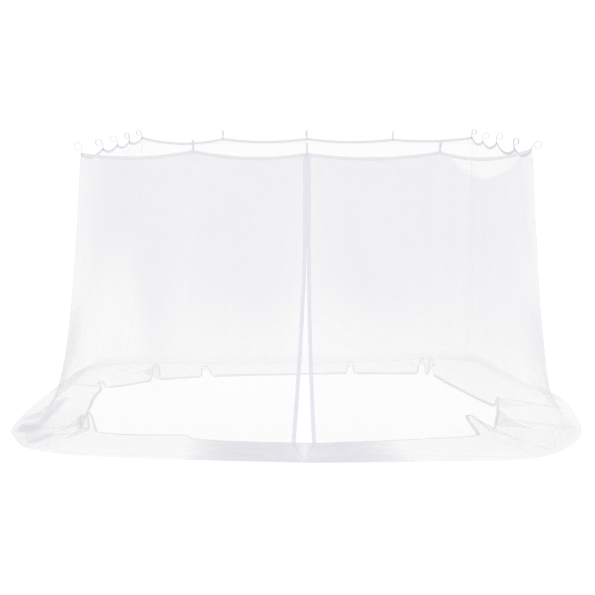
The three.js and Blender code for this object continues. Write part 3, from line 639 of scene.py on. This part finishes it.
# Cloth pieces
# place in the cloth: metres round the heading as cut, metres down from it
topRun = runAlong(topEdge(around)[:, :2])[:, None] * cloth["gather"] * np.ones_like(bays)
clothPlace = np.stack([topRun, runDown, 0 * bays], 2)

# share of the surface that the threads cover, as the cloth is gathered or spread; the front and the cowl
# also carry painted shade and light
coverage = {
    "plain": 0.2, "front": 0.48, "back": 0.178, "floor": 0.155, "floorBack": 0.045,
    "footFold": 0.14, "bunched": 0.73, "seam": 0.16,
    # floor layer at the front corners: from, to, change
    "tips": [(1.9, 3.4, 0.055), (12.8, 14.5, 0.055)],
    # the front leaves are drawn denser, as painted shade, from their top down to here: place, height
    # where it ends and starts
    "frontFade": [(0, 0.8, 1.35), (0.3, 0.62, 1.2), (0.8, 0.55, 1.4), (1.05, 0.55, 1.5),
                  (1.3, 0.3, 1.15), (1.6, 0.9, 1.7), (2, 0.8, 1.6), (14, 0.2, 1.6),
                  (14.3, 0.2, 1.6), (15, 0.4, 1.5), (15.5, 0.65, 1.25), (16, 0.78, 1.35)],
    "zipThin": 0.34, "zipReach": 0.03, "zipSpread": 0.17,   # less of that painted shade beside the zip
    # upright bands of lower and higher cover: place at the top, drift to the floor, half width, ends as
    # shares of the drop, change
    "bands": [(0.88, 0.63, 0.09, 0, 0.7, -0.1), (2, 0, 0.1, 0, 1, -0.26),
              (14, 0, 0.05, 0, 0.6, -0.3), (14.13, 0.02, 0.07, 0.03, 0.9, 0.06),
              (13.6, 0, 0.5, -0.2, 0.55, -0.36), (13.6, 0, 0.36, 0.52, 1.1, 1.15),
              (2.5, 0, 0.5, -0.2, 0.5, -0.3), (2.6, 0, 0.5, 0.5, 1.1, 0.45),
              (2.28, 0, 0.2, 0.5, 1.1, 1.3), (3.6, 0.1, 0.5, 0, 0.5, 0.25), (5, 0, 0.7, 0, 0.5, 0.4)],
    # streaks of closer and looser gathers: from, to, share, streaks in a bay
    "streaks": [(2, 6, 0.06, 8), (10, 14, 0.06, 8), (14, 15.2, 0.1, 14), (0, 2, 0.025, 12),
                (15.2, 16, 0.025, 12)],
    # painted light and shade: the cloth above a deep swag is drawn thin where it tilts up to the light,
    # and a dense rim stands for the shade under the fold
    # above a deep swag, painted light with a rim of painted shade: metres past the swag, half width
    "cowl": 0.19, "cowlFade": (-0.016, 0.002), "cowlEdge": 0.5, "cowlRim": (0.004, 0.012),
    # denser floor layer, fold at the foot and where it is weaker: from, to, fade
    "floorBackOn": (4.8, 11.5, 1.2), "foldOn": (4.4, 12.2, 0.6), "foldWeak": (6.2, 9.8, 0.4),
    "footFade": (0.01, 0.08), "foldAt": (-0.05, 0.09),      # metres of cloth above the floor
    # floor layer beside the zip: from, to, fade, and how much looser it lies at the zip
    "bunch": [(-1, 1.2, 0.65), (15, 17, 0.7)], "zipLoose": 0.22, "looseReach": 0.12, "tapeLaid": 0.28,
}
height = grid[:, :, 2]
front = (bays <= 2) | (bays >= 14)
thin = coverage["zipReach"] + coverage["zipSpread"] * (hooks[0][2] - height)
fromZip = np.abs(np.where(bays <= 8, bays, lastHook - bays)) * bayWide
# painted shade: the front leaves are denser, and so darker, towards their top, where they are lit less
# than the back wall
fadeEnd, fadeStart = (curveThrough(coverage["frontFade"], n)(around)[:, None] for n in (1, 2))
dense = smooth(height, fadeEnd, fadeStart)
dense *= 1 - coverage["zipThin"] * hump(fromZip, thin)
frontWithPaintedShade = coverage["plain"] + (coverage["front"] - coverage["plain"]) * dense
cover = np.where(front, frontWithPaintedShade, coverage["back"])
downShare = runDown / np.maximum(runDown + fall, 1e-6)
for at, drift, half, start, end, change in coverage["bands"]:
    inside = smooth(downShare, start - 0.1, start + 0.1) * (1 - smooth(downShare, end - 0.2, end))
    cover *= 1 + change * hump(bays - at - drift * downShare, half) * inside
for start, end, change, count in coverage["streaks"]:
    cover *= 1 + between(start, end, 0.06) * swell((change, count, 0.5), stray + 20)
# painted light and shade of the cowl: the cloth above the swag is drawn thin, and a dense rim below it is
# drawn as shade
start, end, deep = drape["swags"][0][:3]
k = np.clip((bays - start) / (end - start), 0, 1)
edge = runDown - deep * (4 * k * (1 - k)) ** 0.9
paintedLightCowl = between(start, end, 0.03) * (1 - smooth(edge, *coverage["cowlFade"]))
rim, reach = coverage["cowlRim"]
paintedShadeRim = between(start, end, 0.06) * hump(edge - rim, reach)
cover = cover * (1 - paintedLightCowl) + coverage["cowl"] * paintedLightCowl
cover = np.maximum(cover, coverage["cowlEdge"] * paintedShadeRim)
foot = 1 - smooth(fall, *coverage["footFade"])
laid = coverage["floor"] + coverage["floorBack"] * between(*coverage["floorBackOn"])
for start, end, change in coverage["tips"]:
    laid += change * between(start, end, 0.4)
foldAt, foldReach = coverage["foldAt"]
sideFoot = between(*coverage["foldOn"]) * (1 - 0.5 * between(*coverage["foldWeak"]))
laid += coverage["footFold"] * sideFoot * hump(fall - foldAt, foldReach)
cover = cover * (1 - foot) + laid * foot
for start, end, fade in coverage["bunch"]:
    inside = between(start, end, fade) * (1 + 0.12 * rumple(bays * 2.2 + 7, toHem * 18))
    inside *= 1 - coverage["zipLoose"] * hump(fromZip, coverage["looseReach"])
    cover = np.maximum(cover, coverage["bunched"] * inside * foot)
cover = np.maximum(cover, doubled * onFloor)


def columnsFrom(start, end):
    return np.where((around >= start - 1e-6) & (around <= end + 1e-6))[0]


def clothPanel(name, start, end):
    cols = columnsFrom(start, end)
    inner = np.ix_(cols, allRows[2:-3])     # its edges end inside the heading and the hem
    wide, deep = grid[inner].shape[:2]
    n = np.arange(wide * deep).reshape(wide, deep)
    faces = np.stack([n[:-1, :-1], n[1:, :-1], n[1:, 1:], n[:-1, 1:]], 2).reshape(-1, 4)
    panel = makeObject(name, grid[inner].reshape(-1, 3), faces.tolist(), netMaterial)
    store(panel.data, "clothPlace", clothPlace[inner])
    store(panel.data, "cover", cover[inner])
    span = clothPlace[inner][:, :, :2].reshape(-1, 2)
    span = (span - span.min(0)) / (span.max(0) - span.min(0)) * 0.98 + 0.01
    loops = np.empty(len(panel.data.loops), int)
    panel.data.loops.foreach_get("vertex_index", loops)
    chart = panel.data.uv_layers.new(name="OFBake")
    chart.uv.foreach_set("vector", span[loops].astype(np.float32).ravel())
    return panel


def onCloth(field, cols, rows):  # a field of the cloth between two rows of its grid
    rows = rows + np.zeros(len(cols))
    low = np.floor(rows).astype(int)
    k = (rows - low)[:, None]
    return field[cols, low] * (1 - k) + field[cols, np.minimum(low + 1, lastRow)] * k


def surfaceStrip(name, cols, section, material, tilt=1):
    # closed strip along the cloth: section lists (row position, offset along the normal) round
    # it, and a tilt of 0 keeps the offset level
    rings, lay = [], []
    for row, off in section:
        way = unit(onCloth(normals, cols, row) * [1, 1, tilt])
        rings.append(onCloth(grid, cols, row) + way * off)
        lay.append(onCloth(clothPlace, cols, row) + [0, off, 0])
    strip = closedStrip(name, np.stack(rings, 1), material)
    store(strip.data, "clothPlace", np.stack(lay, 1))
    return strip


# sections of the bindings: row and share of their half thickness, over one face and back
face = netForm["bindingHalf"]
headingHalf = [(3, 0.8), (2, 1), (1, 1), (0.3, 0.9), (0, 0.4)]
hemHalf = [(lastRow - n, share) for n, share in ((4, 0.8), (3, 1), (2, 1), (1, 1), (0.2, 0.8), (0, 0.3))]
headingSection, hemSection = (
    [(row, face * share) for row, share in one] + [(row, -face * share) for row, share in one[::-1]]
    for one in (headingHalf, hemHalf))
sides = {
    "front_left": ("leaf_left", around[0], 2, leftNet, 2),
    "left": ("wall_left", 2, 6, 2, 6), "back": ("wall_back", 6, 10, 6, 10),
    "right": ("wall_right", 10, 14, 10, 14),
    "front_right": ("leaf_right", 14, around[-1], 14, rightNet),
}
panels, headings, hems = {}, {}, {}
for side, (node, start, end, netStart, netEnd) in sides.items():
    cols = columnsFrom(start, end)
    panels[side] = clothPanel("mesh_" + node, netStart, netEnd)
    headings[side] = surfaceStrip("binding_heading_" + side, cols, headingSection, headingMaterial, 0)
    hems[side] = surfaceStrip("binding_hem_" + side, cols, hemSection, hemMaterial)
print("panels and bindings made")


# Zip tapes: half thickness, how far in the coil and the rows of stitches lie, how far over the
# floor these end, between which heights the tape turns sheer like the net, and its thread
zipForm = {
    "thick": 0.0007, "coilIn": 0.0014, "sewnIn": (0.004, 0.016), "endsAt": 0.12,
    "laidAt": (0.09, 0.14), "thread": 0.0004,
}


def zipStrip(name, cols):
    both = np.concatenate([cols, cols[::-1]])       # across the front face and back behind it
    off = np.repeat([zipForm["thick"], -zipForm["thick"]], len(cols))[:, None, None]
    strip = closedStrip(name, (grid[both] + normals[both] * off).swapaxes(0, 1), zipTapeMaterial)
    strip.data.set_sharp_from_angle(angle=math.radians(50))     # cut edges of a flat tape
    store(strip.data, "clothPlace", clothPlace[both].swapaxes(0, 1))
    lying = coverage["tapeLaid"]
    store(strip.data, "cover", (lying + (1 - lying) * smooth(fall[both], *zipForm["laidAt"])).T)
    return strip


tapeCols = {"left": columnsFrom(around[0], leftTape), "right": columnsFrom(rightTape, around[-1])}
zipTapes = {side: zipStrip("zip_tape_woven_" + side, cols) for side, cols in tapeCols.items()}
print("zip tapes made")


# Sewing and coil, by Geometry Nodes
def sewingTree(name, sockets):  # a group that starts from a line set with even points
    tree = bpy.data.node_groups.new(name, "GeometryNodeTree")
    for label, kind in {"Geometry": "Geometry", **sockets, "Material": "Material"}.items():
        tree.interface.new_socket(label, in_out="INPUT", socket_type="NodeSocket" + kind)
    tree.interface.new_socket("Geometry", in_out="OUTPUT", socket_type="NodeSocketGeometry")
    start = addNode(tree, "NodeGroupInput").outputs
    line = addNode(tree, "GeometryNodeMeshToCurve", {"Mesh": start["Geometry"]})
    spaced = addNode(tree, "GeometryNodeResampleCurve", {
        "mode": "LENGTH", "Curve": line, "Length": start["Pitch"]})
    lie = addNode(tree, "GeometryNodeInputNamedAttribute", {"data_type": "FLOAT_VECTOR", "Name": "lie"})
    thick = addNode(tree, "ShaderNodeMath", {"operation": "MULTIPLY", 1: 0.5, 0: start["Thickness"]})
    return tree, start, spaced, lie, thick


def endTree(tree, start, shape):
    real = addNode(tree, "GeometryNodeRealizeInstances", {"Geometry": shape})
    painted = addNode(tree, "GeometryNodeSetMaterial", {"Geometry": real, "Material": start["Material"]})
    addNode(tree, "NodeGroupOutput", {"Geometry": painted})
    return tree


def rowOfShapesTree():  # a small rounded shape repeated along the line, as the attribute lie says
    tree, start, spaced, lie, thick = sewingTree("rowOfShapes", {
        "Pitch": "Float", "Length": "Float", "Thickness": "Float", "Wobble": "Float", "Seed": "Int"})
    long = addNode(tree, "ShaderNodeMath", {"operation": "MULTIPLY", 1: 0.5, 0: start["Length"]})
    size = addNode(tree, "ShaderNodeCombineXYZ", {"X": thick, "Y": thick, "Z": long})
    ball = addNode(tree, "GeometryNodeMeshUVSphere", {"Segments": 6, "Rings": 4, "Radius": 1.0})
    shape = addNode(tree, "GeometryNodeTransform", {"Geometry": ball, "Scale": size})
    turn = addNode(tree, "FunctionNodeAlignRotationToVector", {"axis": "Z", "Vector": lie})
    back = addNode(tree, "ShaderNodeMath", {"operation": "MULTIPLY", 1: -1.0, 0: start["Wobble"]})
    shake = addNode(tree, "FunctionNodeRandomValue", {
        "data_type": "FLOAT_VECTOR", "Seed": start["Seed"], "Min": back, "Max": start["Wobble"]})
    put = addNode(tree, "GeometryNodeInstanceOnPoints", {
        "Points": spaced, "Instance": shape, "Rotation": turn})
    shaken = addNode(tree, "GeometryNodeRotateInstances", {"Instances": put, "Rotation": shake})
    return endTree(tree, start, shaken)


def threadTree():  # one thread that swings from side to side of the line, as an overlock seam does
    tree, start, spaced, lie, thick = sewingTree("swingingThread", {
        "Pitch": "Float", "Swing": "Float", "Thickness": "Float"})
    number = addNode(tree, "GeometryNodeInputIndex")
    odd = addNode(tree, "ShaderNodeMath", {"operation": "MODULO", 1: 2.0, 0: number})
    swing = addNode(tree, "ShaderNodeMath", {"operation": "MULTIPLY_ADD", 1: 2.0, 2: -1.0, 0: odd})
    size = addNode(tree, "ShaderNodeMath", {"operation": "MULTIPLY", 0: swing, 1: start["Swing"]})
    move = addNode(tree, "ShaderNodeVectorMath", {"operation": "SCALE", 0: lie, "Scale": size})
    swung = addNode(tree, "GeometryNodeSetPosition", {"Geometry": spaced, "Offset": move})
    ring = addNode(tree, "GeometryNodeCurvePrimitiveCircle", {"Resolution": 5, "Radius": thick})
    tube = addNode(tree, "GeometryNodeCurveToMesh", {
        "Fill Caps": True, "Curve": swung, "Profile Curve": ring})
    return endTree(tree, start, tube)


shapesTree, seamTree = rowOfShapesTree(), threadTree()


def sewAlong(name, lines, tree, inputs):  # lines: pairs of points and the way each shape lies there
    edges, first = [], 0
    for points, _ in lines:
        edges += [(first + n, first + n + 1) for n in range(len(points) - 1)]
        first += len(points)
    mesh = bpy.data.meshes.new(name + "_line")
    mesh.from_pydata([tuple(p) for points, _ in lines for p in points], edges, [])
    store(mesh, "lie", np.concatenate([way for _, way in lines]))
    guide = inScene(name + "_line", mesh)
    modifier = guide.modifiers.new("sewing", "NODES")
    modifier.node_group = tree
    for socket in tree.interface.items_tree:
        if socket.in_out == "INPUT" and socket.name in inputs:
            modifier[socket.identifier] = inputs[socket.name]
    ready = guide.evaluated_get(bpy.context.evaluated_depsgraph_get())
    made = bpy.data.meshes.new_from_object(ready)
    guide.modifiers.remove(modifier)
    bpy.data.objects.remove(guide)
    made.name = name
    made.shade_smooth()
    return inScene(name, made)


def lineOn(cols, rows, off):  # points along the cloth's grid, raised off it, and their direction
    points = onCloth(grid, cols, rows) + onCloth(normals, cols, rows) * off
    return points, unit(np.gradient(points, axis=0))


# Lockstitch of spun polyester: real stitches are 3 mm of 0.35 mm thread, drawn 7 mm long and
# 1 mm thick so that they can show.
stitch = {
    "Pitch": 0.0085, "Length": 0.0062, "Thickness": 0.0009, "Wobble": 0.05, "Seed": 4,
    "Material": threadMaterial,
}
sewn = {"heading": (2.2, (1, -1)), "hem": (lastRow - 3.4, (-1,))}      # row, faces
stitches = {}
for side, (node, start, end, netStart, netEnd) in sides.items():
    cols = columnsFrom(start, end)[1:-1]
    for band, (row, faces) in sewn.items():
        lines = [lineOn(cols, row, sign * (face + 0.0002)) for sign in faces]
        stitches[band + "_" + side] = sewAlong("stitches_%s_%s" % (band, side), lines, shapesTree, stitch)
print("bindings sewn")

# Nylon coil: real pitch 1.2 mm, drawn 2 mm apart so that the teeth can show. It ends at the floor.
coil = {
    "Pitch": 0.002, "Length": 0.0046, "Thickness": 0.0013, "Wobble": 0.0, "Seed": 1,
    "Material": coilMaterial,
}
acrossCloth = unit(np.gradient(grid, axis=0))
for side, cols in tapeCols.items():
    edge, far, inwards = (cols[0], cols[-1], 1) if side == "left" else (cols[-1], cols[0], -1)
    rows = allRows[(allRows >= 3) & (fall[edge] > zipForm["endsAt"])]
    across = acrossCloth[edge, rows] * inwards
    points, _ = lineOn(np.full(len(rows), edge), rows, zipForm["thick"])
    stitches["coil_" + side] = sewAlong("zip_coil_" + side, [
        (points + across * zipForm["coilIn"], across * inwards)], shapesTree, coil)
    points, way = lineOn(np.full(len(rows), far), rows, zipForm["thick"] + 0.0001)
    lines = [(points - across * reach, way) for reach in zipForm["sewnIn"]]
    stitches["zip_" + side] = sewAlong("stitches_zip_" + side, lines, shapesTree,
                                       {**stitch, "Thickness": zipForm["thread"]})
print("zip coil and its stitches made")

# Overlocked corner seams: a narrow standing edge inside the corner with a swinging thread on it
seamForm = {"stand": 0.0032, "thick": 0.001, "endsAt": 0.02}
seamThread = {"Pitch": 0.004, "Swing": 0.0005, "Thickness": 0.00012, "Material": threadMaterial}
seams = {}
for n, place in enumerate((2, 6, 10, 14)):
    col = int(np.argmin(np.abs(around - place)))
    rows = allRows[(allRows >= 3) & (fall[col] > seamForm["endsAt"])]
    edge, way = grid[col, rows], normals[col, rows]
    cross = np.cross(way, unit(np.gradient(edge, axis=0))) * seamForm["thick"]
    inner = edge - way * seamForm["stand"]
    ring = [edge + cross / 2, inner + cross / 2, inner - cross / 2, edge - cross / 2]
    strip = closedStrip("corner_seam_%d" % (n + 1), np.stack(ring, 1), netMaterial)
    store(strip.data, "clothPlace", np.repeat(clothPlace[col, rows][:, None], 4, 1))
    store(strip.data, "cover", np.full(len(rows) * 4, coverage["seam"]))
    midLine = (edge + inner) / 2
    seams[place] = [strip, sewAlong("corner_overlock_%d" % (n + 1), [
        (midLine + cross, way), (midLine - cross, way)], seamTree, seamThread)]
print("corner seams made")

# Moulded strip hooks: a flat foot behind the heading, a leaning shank and an open ring
hookForm = {
    "width": 0.011, "thick": 0.0024, "ring": 0.0228, "shank": 0.045, "foot": 0.018,
    "openFrom": 245, "steps": 40, "corner": 0.0009, "tipBead": 1.5, "beadReach": 0.003,
    "clear": 0.0016,
    # the strip is slimmer near its tip: share, how far before the tip, half length
    "slim": (0.12, 0.02, 0.012), "endScale": (0.45, 0.86),
}


def hookPath(tip):
    ring, shank, foot = hookForm["ring"], hookForm["shank"], hookForm["foot"]
    turn = np.array([[math.cos(tip), math.sin(tip)], [-math.sin(tip), math.cos(tip)]])
    end = math.radians(hookForm["openFrom"]) - 2 * math.pi
    angles = np.linspace(math.pi, end, hookForm["steps"] + 1) - tip
    curl = turn @ [ring, shank] + ring * np.stack([np.cos(angles), np.sin(angles)], 1)
    return np.array([*((0, -foot * (1 - k / 4)) for k in range(4)),
                     *(curl[0] * k for k in (0.04, 0.2, 0.4, 0.6, 0.8)), *curl])


def hookMesh(name, hook, number):
    out, tip, turn = hook[4], math.radians(hook[6]), math.radians(hook[5])
    path = hookPath(tip)
    way = unit(np.gradient(path, axis=0))
    side = np.stack([way[:, 1], -way[:, 0]], 1)
    runs = runAlong(path)
    toTip = runs[-1] - runs
    halfWide, halfThick, corner = hookForm["width"] / 2, hookForm["thick"] / 2, hookForm["corner"]
    section = []
    for sx, sy in ((1, 1), (-1, 1), (-1, -1), (1, -1)):
        for k in range(4):
            angle = math.radians(90 * k / 3) + math.atan2(sy, sx) - math.radians(45)
            section.append((sx * (halfThick - corner) + corner * math.cos(angle),
                            sy * (halfWide - corner) + corner * math.sin(angle)))
    section = np.array(section)

    def ring(n, thicker, narrower, ahead=0):
        flat = path[n] + way[n] * ahead + side[n] * section[:, :1] * thicker
        return np.stack([flat[:, 0], section[:, 1] * narrower, flat[:, 1]], 1)

    bead = 1 + (hookForm["tipBead"] - 1) * hump(toTip, hookForm["beadReach"])
    share, before, long = hookForm["slim"]
    slim = 1 - share * hump(toTip - before, long)
    thin, narrow = hookForm["endScale"]     # rounded ends
    rings = [ring(0, thin, narrow, -corner * 0.8)]
    rings += [ring(n, bead[n], slim[n]) for n in range(len(path))]
    rings += [ring(-1, thin * hookForm["tipBead"], narrow, corner * 0.8)]
    hookObject = closedStrip(name, np.array(rings), hookMaterial)
    wide = abs(halfWide * math.cos(turn)) + abs(halfThick * math.sin(turn))
    deep = abs(halfThick * math.cos(turn)) + abs(halfWide * math.sin(turn))
    spot = np.array([*(hook[n] - out[n] * (deep + hookForm["clear"]) for n in (0, 1)), hook[2]])
    if number % 4 == 2:   # in a corner it clears the headings of both walls
        spot[1] -= math.copysign(wide + hookForm["clear"], hook[1])
    turned = Matrix.Rotation(math.atan2(out[1], out[0]) + turn, 4, "Z")
    hookObject.data.transform(Matrix.Translation(Vector(spot + middle)) @ turned)
    return hookObject


hookObjects = [hookMesh("moulded_hook_%02d" % (n + 1), hook, n) for n, hook in enumerate(hooks[:-1])]
print("hooks made")

# Slider and pull
sliderForm = {
    "width": 0.011, "neck": 0.007, "height": 0.015, "corner": 0.002, "thick": 0.0022,
    "bevel": 0.0006, "clear": 0.0016, "out": 0.0012,
}
bridgeForm = {"radius": 0.0016, "thick": 0.0026, "down": 0.0005, "out": 0.0034}
pullForm = {
    "width": 0.008, "height": 0.026, "thick": 0.0016, "bevel": 0.0004, "out": 0.0064,
    "shoulder": 0.72,       # share of its half width at the upper end
    "hole": 0.0022, "holeUp": 0.001, "eye": 0.0011,
}


def plate(name, outline, form, down=0, bevel=sliderForm["bevel"], holes=()):
    # an outline in x and z, given its thickness and set as far out in front of the zip as form
    # says, with rounded edges
    curve = bpy.data.curves.new(name, "CURVE")
    curve.dimensions = "2D"
    curve.fill_mode = "BOTH"
    curve.extrude = form["thick"] / 2 - bevel
    curve.bevel_depth = bevel
    curve.bevel_resolution = 3
    curve.offset = -bevel
    for ring in [outline, *holes]:
        spline = curve.splines.new("POLY")
        spline.points.add(len(ring) - 1)
        for point, (px, pz) in zip(spline.points, ring):
            point.co = (px, pz, 0, 1)
        spline.use_cyclic_u = True
    flat = inScene(name, curve)
    ready = flat.evaluated_get(bpy.context.evaluated_depsgraph_get())
    mesh = bpy.data.meshes.new_from_object(ready)
    bpy.data.objects.remove(flat)
    spot = Vector((middle[0], zipFront - form["out"], netForm["zipClosedTo"] - down))
    mesh.transform(Matrix.Translation(spot) @ Matrix.Rotation(math.pi / 2, 4, "X"))
    faceOut(mesh, 1e-6)
    return mesh


def joined(name, meshes):
    whole = bmesh.new()
    for part in meshes:
        whole.from_mesh(part)
    mesh = bpy.data.meshes.new(name)
    whole.to_mesh(mesh)
    whole.free()
    mesh.materials.append(sliderMaterial)
    mesh.shade_smooth()
    mesh.set_sharp_from_angle(angle=math.radians(30))
    return inScene(name, mesh)


def arc(cx, cz, radius, start, end, steps):
    angles = [math.radians(start + (end - start) * n / steps) for n in range(steps + 1)]
    return [(cx + radius * math.cos(a), cz + radius * math.sin(a)) for a in angles]


closedAt = np.array([1 - netForm["zipClosedTo"] / hooks[0][2]])
zipFront = wallPoint(np.array([0.0]), closedAt)[0, 1] + middle[1] - sliderForm["clear"]
wide, neck, high = sliderForm["width"] / 2, sliderForm["neck"] / 2, sliderForm["height"] / 2
foot, corner = neck * 0.6, sliderForm["corner"]
shield = arc(-neck * 0.4, foot - high, foot, 180, 270, 4)
shield += arc(neck * 0.4, foot - high, foot, 270, 360, 4) + [(wide, high / 3)]
shield += arc(wide - corner, high - corner, corner, 0, 90, 4)
shield += arc(corner - wide, high - corner, corner, 90, 180, 4) + [(-wide, high / 3)]
half = bridgeForm["radius"]
bar = arc(0, 0, half, 180, 360, 8) + [(half, high * 0.8), (-half, high * 0.8)]
slider = joined("enamelled_slider", [
    plate("sliderBody", shield, sliderForm), plate("sliderBridge", bar, bridgeForm, bridgeForm["down"])])
wide, high = pullForm["width"] / 2, pullForm["height"] / 2
shoulder = wide * pullForm["shoulder"]
tag = arc(0, wide - high, wide, 180, 360, 12) + [(shoulder, high - wide * 0.4)]
tag += arc(0, high - shoulder, shoulder, 20, 160, 6) + [(-shoulder, high - wide * 0.4)]
eyes = [arc(0, wide - high + pullForm["holeUp"], pullForm["hole"], 360, 0, 14)[:-1],
        arc(0, high - wide * 0.85, pullForm["eye"], 360, 0, 10)[:-1]]
pull = joined("enamelled_pull", [plate("pullTag", tag, pullForm, high, pullForm["bevel"], eyes)])
print("slider and pull made")


# What each piece stands for
def onFrame(piece, nodes=()):
    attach(piece, "root")
    if nodes:
        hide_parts(*nodes)


for side in sides:
    onFrame(panels[side], [sides[side][0]])
    onFrame(headings[side], ["heading_" + side])
    onFrame(hems[side], ["hem_" + side])
    onFrame(stitches["heading_" + side])
    onFrame(stitches["hem_" + side])
for side, strip in zipTapes.items():
    onFrame(strip, ["zip_tape_" + side])
    onFrame(stitches["coil_" + side])
    onFrame(stitches["zip_" + side])
for pair in seams.values():
    for piece in pair:
        onFrame(piece)
for n, piece in enumerate(hookObjects):
    onFrame(piece, ["hook_%02d" % (n + 1)])
onFrame(slider, ["zip_slider"])
onFrame(pull, ["zip_pull"])

print("pieces placed on the frame")

# Studio
studio = {
    "room": 0.7, "backdrop": 1.0,           # light from the room, and how bright it looks
    "key": 0.7, "keyAngle": 50, "keyTurn": (26, 0, 32),
    "floorGlow": 0.72,                      # share of the lit floor's own light, as on a light table
    "floorGrey": 0.34, "floorReach": 60,
}
white = (1, 1, 1, 1)
floorMaterial, tree, shader = newMaterial("matWhiteFloor")
setNode(tree, shader, {
    "Base Color": (studio["floorGrey"],) * 3 + (1,), "Roughness": 0.9, "Specular IOR Level": 0.0,
    "Emission Color": white, "Emission Strength": studio["floorGlow"]})
reach = studio["floorReach"]
corners = [(-reach, -reach, 0), (reach, -reach, 0), (reach, reach, 0), (-reach, reach, 0)]
floor = makeObject("studio_floor", corners, [(0, 1, 2, 3)], floorMaterial, False)
world = bpy.data.worlds.new("studio")
scene.world = world
world.use_nodes = True
tree = world.node_tree
tree.nodes.clear()
light = addNode(tree, "ShaderNodeBackground", {"Color": white, "Strength": studio["room"]})
seen = addNode(tree, "ShaderNodeBackground", {"Color": white, "Strength": studio["backdrop"]})
which = addNode(tree, "ShaderNodeLightPath").outputs["Is Camera Ray"]
mix = addNode(tree, "ShaderNodeMixShader", {0: which, 1: light, 2: seen})
addNode(tree, "ShaderNodeOutputWorld", {"Surface": mix})
keyData = bpy.data.lights.new("key", "SUN")
keyData.energy = studio["key"]
keyData.angle = math.radians(studio["keyAngle"])
inScene("key", keyData).rotation_euler = [math.radians(a) for a in studio["keyTurn"]]
scene.view_settings.view_transform = "Standard"
scene.cycles.transparent_max_bounces = 64
print("studio lit")
